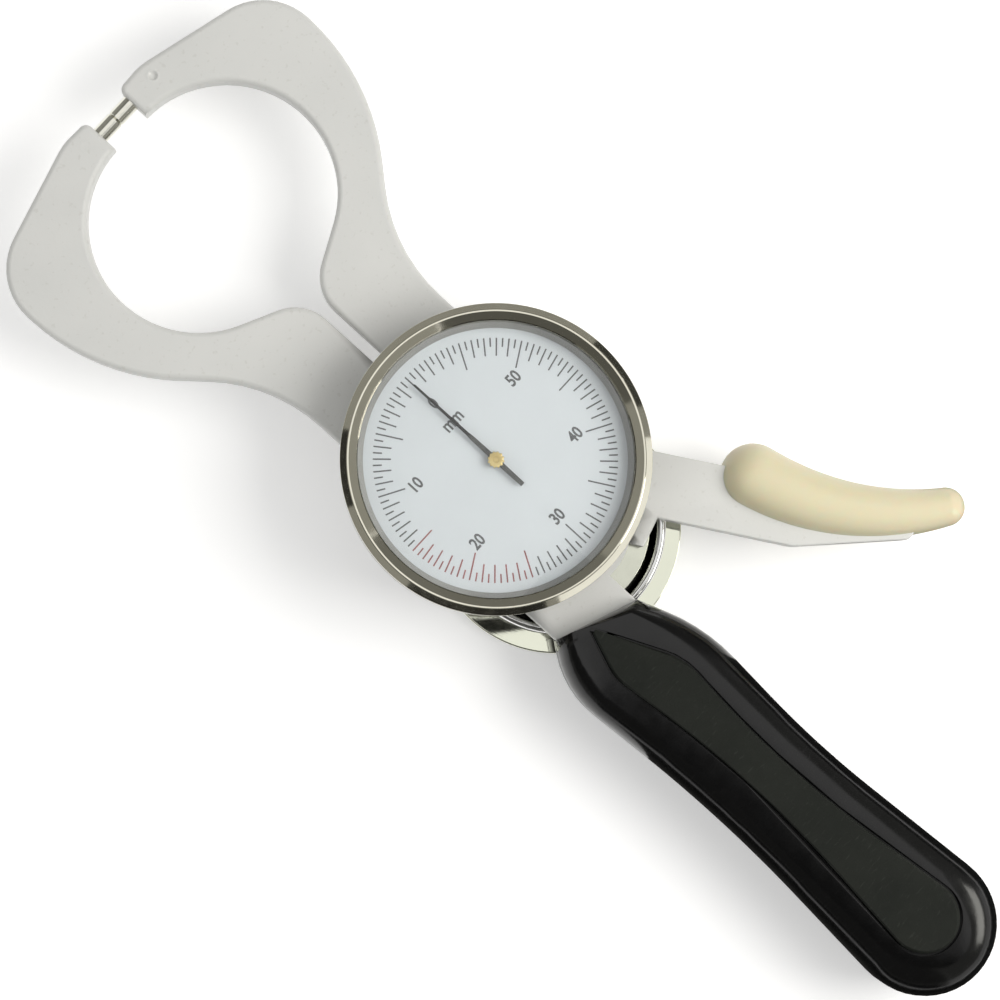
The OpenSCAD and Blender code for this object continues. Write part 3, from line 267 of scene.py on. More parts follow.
def coat(name, colour, other, patches=80.0, smooth=0.3, dull=0.4, grain=900.0, waves=120.0, share=0.5,
         depth=0.01, metal=0.0, lines=None, line_colour=None, **shine):
    """A finish: two close tones, uneven gloss, fine relief depth mm deep and, if asked for, rubbed lines."""
    made, tree, shader, place = finish_tree(name)
    tone = use(tree, uneven_tone, {"Place": place, "Colour": (*colour, 1), "Other Colour": (*other, 1),
                                   "Patches": patches, "Smooth": smooth, "Dull": dull})
    top = tone.outputs["Colour"]
    if lines:
        mask = use(tree, rubbed_lines,
                   {"Place": place, "Stretch": lines[0], "Lines": lines[1], "Amount": lines[2]})
        top = node(tree, "ShaderNodeMix", {"Factor": mask.outputs[0], "A": top, "B": (*line_colour, 1)},
                   data_type="RGBA").outputs["Result"]
    tree.links.new(top, shader.inputs["Base Color"])
    tree.links.new(tone.outputs["Roughness"], shader.inputs["Roughness"])
    relief = use(tree, skin_relief, {"Place": place, "Grain": grain, "Waves": waves, "Wave Share": share})
    bump = node(tree, "ShaderNodeBump",
                {"Height": relief.outputs["Height"], "Distance": depth * MM, "Strength": 1.0})
    tree.links.new(bump.outputs[0], shader.inputs["Normal"])
    shader.inputs["Metallic"].default_value = metal
    for socket, value in shine.items():
        shader.inputs[socket.replace("_", " ")].default_value = value
    return made


enamel = coat("enamel", (0.70, 0.70, 0.675), (0.665, 0.668, 0.645), patches=45.0, smooth=0.34, dull=0.46,
              grain=1400.0, waves=160.0, share=0.55, depth=0.035,
              lines=((1, 1, 1), 900.0, 0.22), line_colour=(0.46, 0.45, 0.40),
              Coat_Weight=0.15, Coat_Roughness=0.25)

SAME_POINT, SAME_PLANE = 0.0005, 0.4  # mm and degrees


def merged(cad_node):
    """A closed bmesh of a CAD node, with flat faces made whole."""
    shape = bmesh.new()
    shape.from_mesh(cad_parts[cad_node].data)
    bmesh.ops.remove_doubles(shape, verts=shape.verts, dist=SAME_POINT * MM)
    bmesh.ops.dissolve_limit(shape, angle_limit=math.radians(SAME_PLANE), verts=shape.verts, edges=shape.edges)
    return shape


def piece(name, shape, body, finish, slot, *stands_for, crease=32.0):
    """Turns a bmesh into a finished object on its body, smooth but for its creases."""
    mesh = bpy.data.meshes.new(name)
    shape.to_mesh(mesh)
    shape.free()
    mesh.shade_smooth()
    mesh.set_sharp_from_angle(angle=math.radians(crease))
    made = bpy.data.objects.new(name, mesh)
    bpy.context.scene.collection.objects.link(made)
    mesh.materials.append(finish)
    even = made.modifiers.new("even_shading", "WEIGHTED_NORMAL")
    even.keep_sharp = True
    if stands_for:
        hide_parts(*stands_for)
    if body:
        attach(made, body)
    return made


ARM_LOW, ARM_HIGH = 13.0, 19.0
GAUGE_Y = 18.0
JAW_EDGE, LEVER_EDGE, ROUND_STEPS = 1.15, 0.4, 5
FLAT_UNDER_GAUGE, FLAT_ROUND_PIVOT, FADE = 29.6, 15.5, 1.5
LEAST_ROUND = 0.02  # a smaller radius leaves the corner as it is
HOLE_WIDTH = 12.0  # a row of edges that is no wider than this is a hole, and stays sharp


def open_loops(shape, level):
    """Takes the flat faces at one height away, and gives the closed rows of edges that they leave."""
    flats = [f for f in shape.faces
             if abs(f.normal.z) > 0.99 and abs(f.calc_center_median().z - level) < 0.01 * MM]
    bmesh.ops.delete(shape, geom=flats, context="FACES")
    left = dict.fromkeys(edge for edge in shape.edges if edge.is_boundary)
    loops = []
    while left:
        loop, front = [], [left.popitem()[0]]
        while front:
            edge = front.pop()
            loop.append(edge)
            near = dict.fromkeys(other for v in edge.verts for other in v.link_edges if other in left)
            for other in near:
                del left[other]
            front += near
        loops.append(loop)
    return loops


def corners_of(loop):
    """The corners along a row of edges, each once, and in the same order each run."""
    return dict.fromkeys(v for edge in loop for v in edge.verts)


def width_of(loop):
    """How far a row of edges reaches along Y."""
    along = [v.co.y for v in corners_of(loop)]
    return max(along) - min(along)


def mitred(one, other):
    """How far a corner moves when both its sides move out by one."""
    return (one + other) / max(0.4, 1 + one.dot(other))


def round_over(shape, level, up, radius_at):
    """Draws the outline of a flat round: up is 1 for an upper flat and -1 for a lower one."""
    rims = []
    for loop in open_loops(shape, level):
        leans = {}
        for edge in loop:
            for v in edge.verts:
                leans.setdefault(v, []).append(edge.link_faces[0].normal.xy.normalized())
        rings = {}
        for v, (one, other) in leans.items():
            radius = radius_at(v.co) * MM if width_of(loop) > HOLE_WIDTH * MM else 0.0
            rings[v] = [v] * (ROUND_STEPS + 1)
            if radius < LEAST_ROUND * MM:
                continue
            out = mitred(one, other)
            x, y = v.co.xy
            v.co.z = level - up * radius
            for step in range(1, ROUND_STEPS + 1):
                turn = math.pi / 2 * step / ROUND_STEPS
                inward = radius * (1 - math.cos(turn))
                rings[v][step] = shape.verts.new((x - out.x * inward, y - out.y * inward,
                                                  level - up * radius * (1 - math.sin(turn))))
        for edge in loop:
            a, b = (rings[v] for v in edge.verts)
            for step in range(ROUND_STEPS):
                corners = [a[step], b[step], b[step + 1], a[step + 1]]
                kept = [v for k, v in enumerate(corners) if v not in corners[:k]]
                if len(kept) > 2:
                    shape.faces.new(kept)
            rims.append((a[-1], b[-1]))
    bmesh.ops.triangle_fill(shape, edges=[shape.edges.get(rim) for rim in rims], use_beauty=True,
                            normal=(0, 0, up))


def casting_round(at):
    """The casting's edge radius at a point: none under the gauge and round the pivot."""
    from_gauge = math.hypot(at.x, at.y - GAUGE_Y * MM) / MM - FLAT_UNDER_GAUGE
    from_pivot = math.hypot(at.x, at.y) / MM - FLAT_ROUND_PIVOT
    whole = JAW_EDGE if at.y > GAUGE_Y * MM else LEVER_EDGE
    return whole * max(0.0, min(1.0, from_gauge / FADE, from_pivot / FADE))


def painted_casting(name, cad_node, body):
    """The arm with its outer edges drawn round, as the casting's are under the paint."""
    shape = merged(cad_node)
    round_over(shape, ARM_LOW * MM, -1, casting_round)
    round_over(shape, ARM_HIGH * MM, 1, casting_round)
    bmesh.ops.recalc_face_normals(shape, faces=shape.faces)
    return piece(name, shape, body, enamel, "cast_arm", cad_node)


painted_casting("fixed_jaw", "fixed_arm", "fixed_body")

# ---- contact tips ----
# Two ground and polished steel pins, each pressed through the end of a jaw and locked by a small screw
# that was painted over with the arm.

polished = coat("polished_tip", (0.80, 0.79, 0.71), (0.75, 0.74, 0.665), patches=300.0, smooth=0.07, dull=0.13,
                grain=5000.0, waves=900.0, share=0.2, depth=0.0012, metal=1.0,
                lines=((6, 1, 1), 900.0, 0.25), line_colour=(0.5, 0.5, 0.5))
steel = coat("bright_steel", (0.60, 0.59, 0.57), (0.50, 0.49, 0.47), patches=400.0, smooth=0.2, dull=0.34,
             grain=4000.0, waves=900.0, share=0.3, depth=0.004, metal=1.0)


def finish_cad(finish, *names):
    """Gives CAD nodes that stay as they are their finish."""
    for name in names:
        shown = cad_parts[name]
        shown.data.materials.clear()
        shown.data.materials.append(finish)


finish_cad(polished, "fixed_tip", "moving_tip")

# ---- pivot shaft ----
# The turned steel shaft on which both arms, the coils and the knob sit, held by a clip in the gauge.

blued = coat("blued_steel", (0.10, 0.11, 0.14), (0.14, 0.14, 0.15), patches=500.0, smooth=0.22, dull=0.36,
             grain=4000.0, waves=1200.0, share=0.3, depth=0.003, metal=1.0)
finish_cad(steel, "pivot_shaft", "drive_pin", "seat_screws", "case_screws", "bridge_screws", "handle_screws",
           "grip_pins", "knob_washer", "knob_nut")
finish_cad(blued, "shaft_clip", "sector_clip", "hairspring", "bezel_snap_ring")

# ---- moving arm ----
# The upper jaw with its lever plate, one casting in the same paint. It swings on a brass bushing and
# pushes the gauge's gear with a pin.

painted_casting("moving_jaw_and_lever", "moving_arm", "moving_body")

brass = coat("turned_brass", (0.66, 0.53, 0.24), (0.54, 0.42, 0.17), patches=500.0, smooth=0.16, dull=0.3,
             grain=4000.0, waves=1500.0, share=0.3, depth=0.002, metal=1.0)
finish_cad(brass, "pivot_bushing", "sector_gear", "pinion_arbor", "arbor_bearing", "bridge_pillars", "bridge",
           "hairspring_stud", "hairspring_collet")

# ---- finger grip ----
# A curved cream moulding slipped over the lever's edge and pinned from the back. The two halves of its
# mould leave a fine line along the middle.

cream = coat("cream_moulding", (0.70, 0.645, 0.45), (0.68, 0.625, 0.43), patches=60.0, smooth=0.33, dull=0.42,
             grain=2600.0, waves=260.0, share=0.4, depth=0.006, Subsurface_Weight=0.35, Subsurface_Scale=0.003)
GRIP_ARC_R = 54.0
GRIP_FROM, GRIP_TURN = 192.4, 42.0
GRIP_START = (32.95, -21.6)
GRIP_CENTRE = (GRIP_START[0] - GRIP_ARC_R * math.cos(math.radians(GRIP_FROM)),
               GRIP_START[1] - GRIP_ARC_R * math.sin(math.radians(GRIP_FROM)))
GRIP_WIDE, GRIP_DEEP = (6.5, 3.9), (7.6, 5.0)
GRIP_SIDES, GRIP_RINGS, GRIP_ENDS = 64, 72, 12
MOULD_LINE = 0.09
ARM_MIDDLE = (ARM_LOW + ARM_HIGH) / 2


def squarish(value):
    """Fills out a circle's sine or cosine, for a section between round and square."""
    return math.copysign(abs(value) ** 0.82, value)


def grip_ring(t, grow, push):
    """One ring round the grip: t along it, grow fills out its round ends, push moves past them."""
    a = math.radians(GRIP_FROM + GRIP_TURN * t)
    out, along = (math.cos(a), math.sin(a)), (-math.sin(a), math.cos(a))
    half_w = (GRIP_WIDE[0] + (GRIP_WIDE[1] - GRIP_WIDE[0]) * t ** 1.5) * grow
    half_h = (GRIP_DEEP[0] + (GRIP_DEEP[1] - GRIP_DEEP[0]) * t ** 1.2) * grow
    ring = []
    for side in range(GRIP_SIDES):
        b = 2 * math.pi * side / GRIP_SIDES
        w, h = half_w * squarish(math.cos(b)), half_h * squarish(math.sin(b))
        if side % (GRIP_SIDES // 2) == 0:
            w -= math.copysign(MOULD_LINE, w) * grow
        reach = GRIP_ARC_R + w
        ring.append(Vector((GRIP_CENTRE[0] + out[0] * reach + along[0] * push,
                            GRIP_CENTRE[1] + out[1] * reach + along[1] * push, ARM_MIDDLE + h)) * MM)
    return ring


def lofted(rings):
    """A closed tube through rings of equal length."""
    shape = bmesh.new()
    rows = [[shape.verts.new(point) for point in ring] for ring in rings]
    count = len(rings[0])
    for before, after in zip(rows, rows[1:]):
        for i in range(count):
            shape.faces.new((before[i], before[(i + 1) % count], after[(i + 1) % count], after[i]))
    shape.faces.new(rows[0][::-1])
    shape.faces.new(rows[-1])
    bmesh.ops.recalc_face_normals(shape, faces=shape.faces)
    return shape


end_steps = [(step + 0.4) / (GRIP_ENDS + 0.4) * math.pi / 2 for step in range(GRIP_ENDS)]
grip_rings = [grip_ring(0, math.sin(b), -GRIP_WIDE[0] * math.cos(b)) for b in end_steps]
grip_rings += [grip_ring(step / GRIP_RINGS, 1, 0) for step in range(GRIP_RINGS + 1)]
grip_rings += [grip_ring(1, math.sin(b), GRIP_WIDE[1] * math.cos(b)) for b in reversed(end_steps)]
piece("finger_grip", lofted(grip_rings), "moving_body", cream, "cream_grip", "lever_grip", crease=60.0)

# ---- handle ----
# Two black moulded half shells round the strip, closed by three screws from the back, with a matt
# grained panel let into the front.

black = coat("black_moulding", (0.0020, 0.0020, 0.0021), (0.0030, 0.0030, 0.0032), patches=60.0,
             smooth=0.14, dull=0.2, grain=2200.0, waves=170.0, share=0.6, depth=0.010,
             lines=((1, 6, 1), 500.0, 0.12), line_colour=(0.03, 0.03, 0.03), Specular_IOR_Level=0.44)
matt = coat("matt_panel", (0.0145, 0.0162, 0.0132), (0.0115, 0.0132, 0.0108), patches=90.0,
            smooth=0.56, dull=0.68, grain=3600.0, waves=900.0, share=0.25, depth=0.05,
            lines=((1, 5, 1), 420.0, 0.25), line_colour=(0.045, 0.049, 0.042), Specular_IOR_Level=0.2)

FRONT_HIGH, POCKET_FLOOR = 26.0, 24.8
CROWN, CROWN_SLOPE, CROWN_ROWS = 0.16, 0.13, 4
ROWS_REACH = 0.97  # how far the rows go from the rim to the pocket
SIDE_ROUND, PANEL_GAP, PANEL_EDGE = 5.2, 0.36, 0.15


def nearest_on(loop, at):
    """The point of a row of edges that lies nearest to a place, seen from above."""
    best, best_away = None, 1.0
    for edge in loop:
        a, b = (v.co.xy for v in edge.verts)
        share = max(0.0, min(1.0, (at - a).dot(b - a) / max((b - a).length_squared, 1e-12)))
        point = a.lerp(b, share)
        if (point - at).length < best_away:
            best, best_away = point, (point - at).length
    return best


def crowned_front():
    """The front shell with its face crowned from the panel's pocket to its rounded sides."""
    shape = merged("handle_front_shell")
    rim, pocket = sorted(open_loops(shape, FRONT_HIGH * MM), key=width_of, reverse=True)
    for v in shape.verts:
        rise = 1 - (FRONT_HIGH - v.co.z / MM) / SIDE_ROUND
        if rise > 0 and abs(v.co.z - POCKET_FLOOR * MM) > 0.01 * MM:
            inward = 1 - math.sqrt(max(0.0, 1 - rise ** 2))
            slope = CROWN_SLOPE + CROWN / SIDE_ROUND
            v.co.z -= (CROWN + SIDE_ROUND * (1 - inward) * slope) * inward * MM
    for v in corners_of(pocket):
        v.co.z = FRONT_HIGH * MM
    rows = {}
    for v in corners_of(rim):
        goal = nearest_on(pocket, v.co.xy)
        rows[v] = [v]
        for step in range(1, CROWN_ROWS + 1):
            share = ROWS_REACH * step / CROWN_ROWS
            flat = v.co.xy.lerp(goal, share)
            rows[v].append(shape.verts.new((flat.x, flat.y, (FRONT_HIGH - CROWN * (1 - share) ** 2) * MM)))
    inner = []
    for edge in rim:
        a, b = (rows[v] for v in edge.verts)
        for step in range(CROWN_ROWS):
            shape.faces.new((a[step], b[step], b[step + 1], a[step + 1]))
        inner.append(shape.edges.get((a[-1], b[-1])))
    bmesh.ops.triangle_fill(shape, edges=inner + pocket, use_beauty=True, normal=(0, 0, 1))
    bmesh.ops.recalc_face_normals(shape, faces=shape.faces)
    return shape


def set_in_panel():
    """The panel, a little smaller than its pocket, with its rim drawn round."""
    shape = merged("handle_panel")
    moves = {}
    for v in shape.verts:
        sides = [f.normal.xy.normalized() for f in v.link_faces if abs(f.normal.z) < 0.1]
        if sides:
            one, other = (sides * 2)[:2]  # a corner with one side counts it twice
            moves[v] = mitred(one, other) * PANEL_GAP * MM
    for v, (x, y) in moves.items():
        v.co.x -= x
        v.co.y -= y
    round_over(shape, max(v.co.z for v in shape.verts), 1, lambda at: PANEL_EDGE)
    bmesh.ops.recalc_face_normals(shape, faces=shape.faces)
    return shape


piece("handle_front", crowned_front(), "fixed_body", black, "black_shell", "handle_front_shell", crease=34.0)
piece("handle_back", merged("handle_back_shell"), "fixed_body", black, "black_shell", "handle_back_shell",
      crease=28.0)
piece("grip_panel", set_in_panel(), "fixed_body", matt, "panel_grey", "handle_panel", crease=50.0)

# ---- knob and spring seat ----
# Two turned and plated discs on the shaft. The knob at the back winds the coils against the seat under
# the moving arm.

# lathe lines: a height that changes only with the distance from a turning axis, and that distance
lathe_lines, given, put = node_group(
    "lathe_lines", "ShaderNodeTree", [("Place", "Vector"), ("Axis", "Vector"), ("Lines", "Float", 2500.0)],
    [("Height", "Float"), ("Reach", "Float")])
from_axis = node(lathe_lines, "ShaderNodeVectorMath", {0: given["Place"], 1: given["Axis"]}, operation="SUBTRACT")
flat = node(lathe_lines, "ShaderNodeVectorMath", {0: from_axis.outputs[0], 1: (1, 1, 0)}, operation="MULTIPLY")
reach = node(lathe_lines, "ShaderNodeVectorMath", {0: flat.outputs[0]}, operation="LENGTH")
count = node(lathe_lines, "ShaderNodeMath", {0: reach.outputs["Value"], 1: given["Lines"]}, operation="MULTIPLY")
line_heights = node(lathe_lines, "ShaderNodeTexNoise", {"W": count.outputs[0], "Scale": 1.0, "Detail": 3.0},
                    noise_dimensions="1D")
lathe_lines.links.new(line_heights.outputs[0], put["Height"])
lathe_lines.links.new(reach.outputs["Value"], put["Reach"])


# the height where the knob's painted shade starts, and the width over which its edge fades, in mm
PAINTED_SHADE_FROM, PAINTED_SHADE_FADE = 3.2, 0.2


def plated(name, colour, other, axis, smooth, dull, lines=2500.0, depth=0.0012, painted_shade_within=None):
    """Bright plating over a turned surface, with uneven gloss and the faint lines of the lathe. Within a given
    radius, and above the height where the shade starts, it is painted black: painted shade where the coils and the
    seat shade the knob's face."""
    made, tree, shader, place = finish_tree(name)
    tone = use(tree, uneven_tone, {"Place": place, "Colour": (*colour, 1), "Other Colour": (*other, 1),
                                   "Patches": 120.0, "Smooth": smooth, "Dull": dull})
    lathe = use(tree, lathe_lines, {"Place": place, "Axis": axis, "Lines": lines})
    bump = node(tree, "ShaderNodeBump",
                {"Height": lathe.outputs["Height"], "Distance": depth * MM, "Strength": 1.0})
    top = tone.outputs["Colour"]
    if painted_shade_within:
        beyond = node(tree, "ShaderNodeMapRange",
                      {"Value": lathe.outputs["Reach"], "From Min": (painted_shade_within - PAINTED_SHADE_FADE) * MM,
                       "From Max": painted_shade_within * MM})
        high = node(tree, "ShaderNodeSeparateXYZ", {0: place}).outputs["Z"]
        below = node(tree, "ShaderNodeMath", {0: high, 1: PAINTED_SHADE_FROM * MM}, operation="LESS_THAN")
        unshaded_zone = node(tree, "ShaderNodeMath", {0: beyond.outputs[0], 1: below.outputs[0]}, operation="MAXIMUM")
        # painted shade: the face goes black inside the coils, where they and the seat shade it
        top = node(tree, "ShaderNodeMix",
                   {"Factor": unshaded_zone.outputs[0], "A": (0.012, 0.012, 0.011, 1), "B": top},
                   data_type="RGBA").outputs["Result"]
    tree.links.new(top, shader.inputs["Base Color"])
    tree.links.new(tone.outputs["Roughness"], shader.inputs["Roughness"])
    tree.links.new(bump.outputs[0], shader.inputs["Normal"])
    shader.inputs["Metallic"].default_value = 1.0
    return made


def rounded_profile(corners, steps=4):
    """A closed profile of [distance, height, radius] corners, with each corner rounded."""
    line = []
    for i, (r, z, radius) in enumerate(corners):
        here = Vector((r, z))
        if not radius:
            line.append(here)
            continue
        before, after = Vector(corners[i - 1][:2]), Vector(corners[(i + 1) % len(corners)][:2])
        to_before, to_after = (before - here).normalized(), (after - here).normalized()
        half = to_before.angle(to_after) / 2
        middle = here + (to_before + to_after).normalized() * radius / math.sin(half)
        start = here + to_before * radius / math.tan(half) - middle
        end = here + to_after * radius / math.tan(half) - middle
        for step in range(steps + 1):
            part = start.lerp(end, step / steps)
            line.append(middle + part.normalized() * radius)
    return line


def turned(profile, centre=(0.0, 0.0), steps=192):
    """A body turned about an upright axis from a closed profile of (distance, height) points."""
    shape = bmesh.new()
    rows = []
    for r, z in profile:
        if r < 1e-6:
            rows.append([shape.verts.new(Vector((centre[0], centre[1], z)) * MM)])
            continue
        rows.append([shape.verts.new(Vector((centre[0] + r * math.cos(2 * math.pi * i / steps),
                                             centre[1] + r * math.sin(2 * math.pi * i / steps), z)) * MM)
                     for i in range(steps)])
    for a, b in zip(rows, rows[1:] + rows[:1]):
        for i in range(steps):
            j = (i + 1) % steps
            corners = [a[i % len(a)], a[j % len(a)], b[j % len(b)], b[i % len(b)]]
            kept = [v for k, v in enumerate(corners) if v not in corners[:k]]
            if len(kept) > 2:
                shape.faces.new(kept)
    bmesh.ops.recalc_face_normals(shape, faces=shape.faces)
    return shape


AT_PIVOT = (0, 0, 0)
# the knob's face within 21.3 mm of the shaft is painted black as shade under the coils and the seat
knob_plate = plated("knob_plating", (0.80, 0.815, 0.69), (0.77, 0.785, 0.66), AT_PIVOT, 0.03, 0.06,
                    painted_shade_within=21.3)
seat_plate = plated("seat_plating", (0.68, 0.69, 0.59), (0.64, 0.65, 0.56), AT_PIVOT, 0.08, 0.14)
knob_profile = rounded_profile([
    (3.05, 2.8, 0), (7.4, 2.8, 0.1), (7.4, 0, 0.3), (25.3, 0, 1.0), (25.3, 4, 0.35), (9.6, 4, 0.3),
    (9, 4.6, 0), (9, 11, 0.3), (3.05, 11, 0),
], 6)
piece("knob", turned(knob_profile), "knob_body", knob_plate, "plated_disc", "pressure_knob")

seat_profile = rounded_profile([
    (4.65, 11.4, 0.15), (18.1, 11.4, 0.3), (18.1, 12.6, 0.12), (12.6, 12.6, 0.1), (12.6, 13.0, 0), (4.65, 13.0, 0),
])
piece("seat_disc", turned(seat_profile), "moving_body", seat_plate, "plated_disc", "spring_seat")

# the tips' locking screws, painted over with the arms: a low bead of paint round a filled dimple. Each
# has its place across the jaws, the bead's height and the dimple's depth.
TIP_LINE = 118.5
SKIN = ARM_HIGH - 0.01
for name, cad_node, body, at_x, bead, deep in (
        ("moving_screw_paint", "moving_tip_screw", "moving_body", 11.1, 0.05, 0.46),
        ("fixed_screw_paint", "fixed_tip_screw", "fixed_body", -8.1, 0.008, 0.015)):
    dish = [(0.0, SKIN - deep), (0.3, SKIN - deep * 0.96), (0.55, SKIN - deep * 0.75), (0.75, SKIN - deep * 0.4),
            (0.95, ARM_HIGH + bead * 0.6), (1.1, ARM_HIGH + bead), (1.25, ARM_HIGH + bead * 0.7), (1.5, SKIN),
            (1.5, SKIN - 0.02), (0.96, SKIN - 0.02), (0.96, ARM_HIGH - 0.8), (0.0, ARM_HIGH - 0.8)]
    piece(name, turned(dish, (at_x, TIP_LINE), 64), body, enamel, "cast_arm", cad_node, crease=50.0)

# ---- coil spring ----
# Two and a quarter turns of plated spring wire between the discs. Its lower end is hooked in the knob and its
# upper end in the moving arm. The coil is built in two halves, which stay where they are and don't move with
# either end.

wire_plate = coat("wire_plating", (0.80, 0.80, 0.79), (0.72, 0.72, 0.71), patches=300.0, smooth=0.06, dull=0.12,
                  grain=5000.0, waves=1500.0, share=0.3, depth=0.001, metal=1.0)
COIL_R, WIRE_R, COIL_TURNS = 20.4, 1.0, 2.25
COIL_LOW, COIL_HIGH, BEND = 5.2, 11.75, 1.6
END_IN_KNOB, END_IN_ARM = 1.8, 16.4
TWIST_FROM, TWIST_TO = 4.2, 12.8
COIL_STEPS, BEND_STEPS = 150, 8
COIL_TOP_TURN = math.radians(-30)
COIL_LOW_TURN = COIL_TOP_TURN - 2 * math.pi * COIL_TURNS
bend_turn = BEND / COIL_R
bends = [math.pi / 2 * step / BEND_STEPS for step in range(BEND_STEPS + 1)]
coil_line = [(COIL_LOW_TURN - bend_turn, END_IN_KNOB)]
coil_line += [(COIL_LOW_TURN - bend_turn * math.cos(b), COIL_LOW - BEND * (1 - math.sin(b))) for b in bends]
for step in range(1, COIL_STEPS):
    f = step / COIL_STEPS
    coil_line.append((COIL_LOW_TURN + (COIL_TOP_TURN - COIL_LOW_TURN) * f,
                      COIL_LOW + (COIL_HIGH - COIL_LOW) * f))
coil_line += [(COIL_TOP_TURN + bend_turn * (math.sin(b) - 1), COIL_HIGH + BEND * (1 - math.cos(b))) for b in bends]
coil_line.append((COIL_TOP_TURN, END_IN_ARM))
coil_points = [Vector((COIL_R * math.cos(a), COIL_R * math.sin(a), z)) for a, z in coil_line]


def wire_ring(i, sides=20):
    """The wire's round section at one point of its line."""
    along = (coil_points[min(i + 1, len(coil_points) - 1)] - coil_points[max(i - 1, 0)]).normalized()
    outward = Vector((math.cos(coil_line[i][0]), math.sin(coil_line[i][0]), 0))
    side = along.cross(outward).normalized()
    out = side.cross(along)
    turns = [2 * math.pi * j / sides for j in range(sides)]
    return [(coil_points[i] + WIRE_R * (out * math.cos(b) + side * math.sin(b))) * MM for b in turns]


middle = len(coil_points) // 2
middle_z = coil_points[middle].z * MM
for name, span, ends, heights in (
        ("coil_lower", range(0, middle + 1), ("knob_body", "fixed_body"), (TWIST_FROM * MM, middle_z)),
        ("coil_upper", range(middle, len(coil_points)), ("fixed_body", "moving_body"), (middle_z, TWIST_TO * MM))):
    coil = piece(name, lofted([wire_ring(i) for i in span]), None, wire_plate, "spring_steel", "torsion_spring",
                 crease=50.0)
    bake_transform(coil)

# ---- gauge case ----
# A round nickelled cup screwed to the fixed arm. It holds the gear, the pinion and their brass bridge.

DIAL_AT = (0.0, GAUGE_Y)
DIAL_AXIS = (0, GAUGE_Y * MM, 0)
nickel = plated("nickel_plating", (0.80, 0.775, 0.66), (0.76, 0.735, 0.62), DIAL_AXIS, 0.06, 0.11, lines=1800.0)
# darker and duller than the bezel's nickel, so that the case shows dark where it is seen in the knob's plating
darker_case_nickel = plated("darker_case_nickel", (0.40, 0.39, 0.34), (0.34, 0.33, 0.29), DIAL_AXIS, 0.2, 0.3, lines=1200.0,
                     depth=0.003)
finish_cad(darker_case_nickel, "gauge_case")

# ---- dial plate and its marks ----
# A white enamelled plate with a mark for each half millimetre of jaw opening and sixty millimetres to the
# turn, counted to the left. The marks from 15 to 25 are red.

dial_enamel = coat("dial_enamel", (0.54, 0.575, 0.595), (0.527, 0.561, 0.581), patches=70.0,
                   smooth=0.35, dull=0.45, grain=3000.0, waves=300.0, share=0.3, depth=0.002)
finish_cad(dial_enamel, "dial_plate")
FACE_Z, INK = 28.4, 0.02
dark_ink = coat("dark_ink", (0.045, 0.048, 0.05), (0.07, 0.073, 0.075), patches=900.0, smooth=0.4, dull=0.5,
                grain=5000.0, waves=900.0, share=0.3, depth=0.001)
red_ink = coat("red_ink", (0.20, 0.05, 0.048), (0.26, 0.07, 0.066), patches=900.0, smooth=0.4, dull=0.5,
               grain=5000.0, waves=900.0, share=0.3, depth=0.001)


def reckon(tree, what, a, b=None):
    """A number worked out from one or two others."""
    return node(tree, "ShaderNodeMath", {0: a} if b is None else {0: a, 1: b}, operation=what).outputs[0]


dial_marks, given, put = node_group("dial_marks", "GeometryNodeTree", [
    ("First Mark", "Int"), ("Count", "Int"), ("Turn Per Mark", "Float"), ("Outer Radius", "Float"),
    ("Long", "Float"), ("Middling", "Float"), ("Short", "Float"), ("Width", "Float"), ("Height", "Float"),
    ("Centre", "Vector"), ("Ink", "Material")], [("Geometry", "Geometry")])
number = reckon(dial_marks, "ADD", node(dial_marks, "GeometryNodeInputIndex").outputs[0], given["First Mark"])
turn = reckon(dial_marks, "MULTIPLY", number, given["Turn Per Mark"])
left = reckon(dial_marks, "MULTIPLY", reckon(dial_marks, "SINE", turn), -1.0)
spot = node(dial_marks, "ShaderNodeCombineXYZ", {0: left, 1: reckon(dial_marks, "COSINE", turn)})
on_rim = node(dial_marks, "ShaderNodeVectorMath", {0: spot.outputs[0], 3: given["Outer Radius"]},
              operation="SCALE")
points = node(dial_marks, "GeometryNodePoints", {"Count": given["Count"], "Position": on_rim.outputs[0]})
tenth = reckon(dial_marks, "COMPARE", reckon(dial_marks, "FLOORED_MODULO", number, 10.0), 0.0)
even = reckon(dial_marks, "COMPARE", reckon(dial_marks, "FLOORED_MODULO", number, 2.0), 0.0)
plain_length = node(dial_marks, "ShaderNodeMix", {"Factor": even, "A": given["Short"], "B": given["Middling"]})
length = node(dial_marks, "ShaderNodeMix", {"Factor": tenth, "A": plain_length.outputs[0], "B": given["Long"]})
bar_size = node(dial_marks, "ShaderNodeCombineXYZ", {0: given["Width"], 1: 1.0, 2: given["Height"]})
bar = node(dial_marks, "GeometryNodeMeshCube", {"Size": bar_size.outputs[0]})
half_up = reckon(dial_marks, "MULTIPLY", given["Height"], 0.5)
inward = node(dial_marks, "ShaderNodeCombineXYZ", {1: -0.5, 2: half_up})
moved = node(dial_marks, "GeometryNodeTransform", {"Geometry": bar.outputs[0], "Translation": inward.outputs[0]})
stretch = node(dial_marks, "ShaderNodeCombineXYZ", {0: 1.0, 1: length.outputs[0], 2: 1.0})
turned_by = node(dial_marks, "ShaderNodeCombineXYZ", {2: turn})
placed = node(dial_marks, "GeometryNodeInstanceOnPoints",
              {"Points": points.outputs[0], "Instance": moved.outputs[0], "Rotation": turned_by.outputs[0],
               "Scale": stretch.outputs[0]})
centred = node(dial_marks, "GeometryNodeTransform",
               {"Geometry": placed.outputs[0], "Translation": given["Centre"]})
whole = node(dial_marks, "GeometryNodeRealizeInstances", {"Geometry": centred.outputs[0]})
inked = node(dial_marks, "GeometryNodeSetMaterial", {"Geometry": whole.outputs[0], "Material": given["Ink"]})
dial_marks.links.new(inked.outputs[0], put["Geometry"])


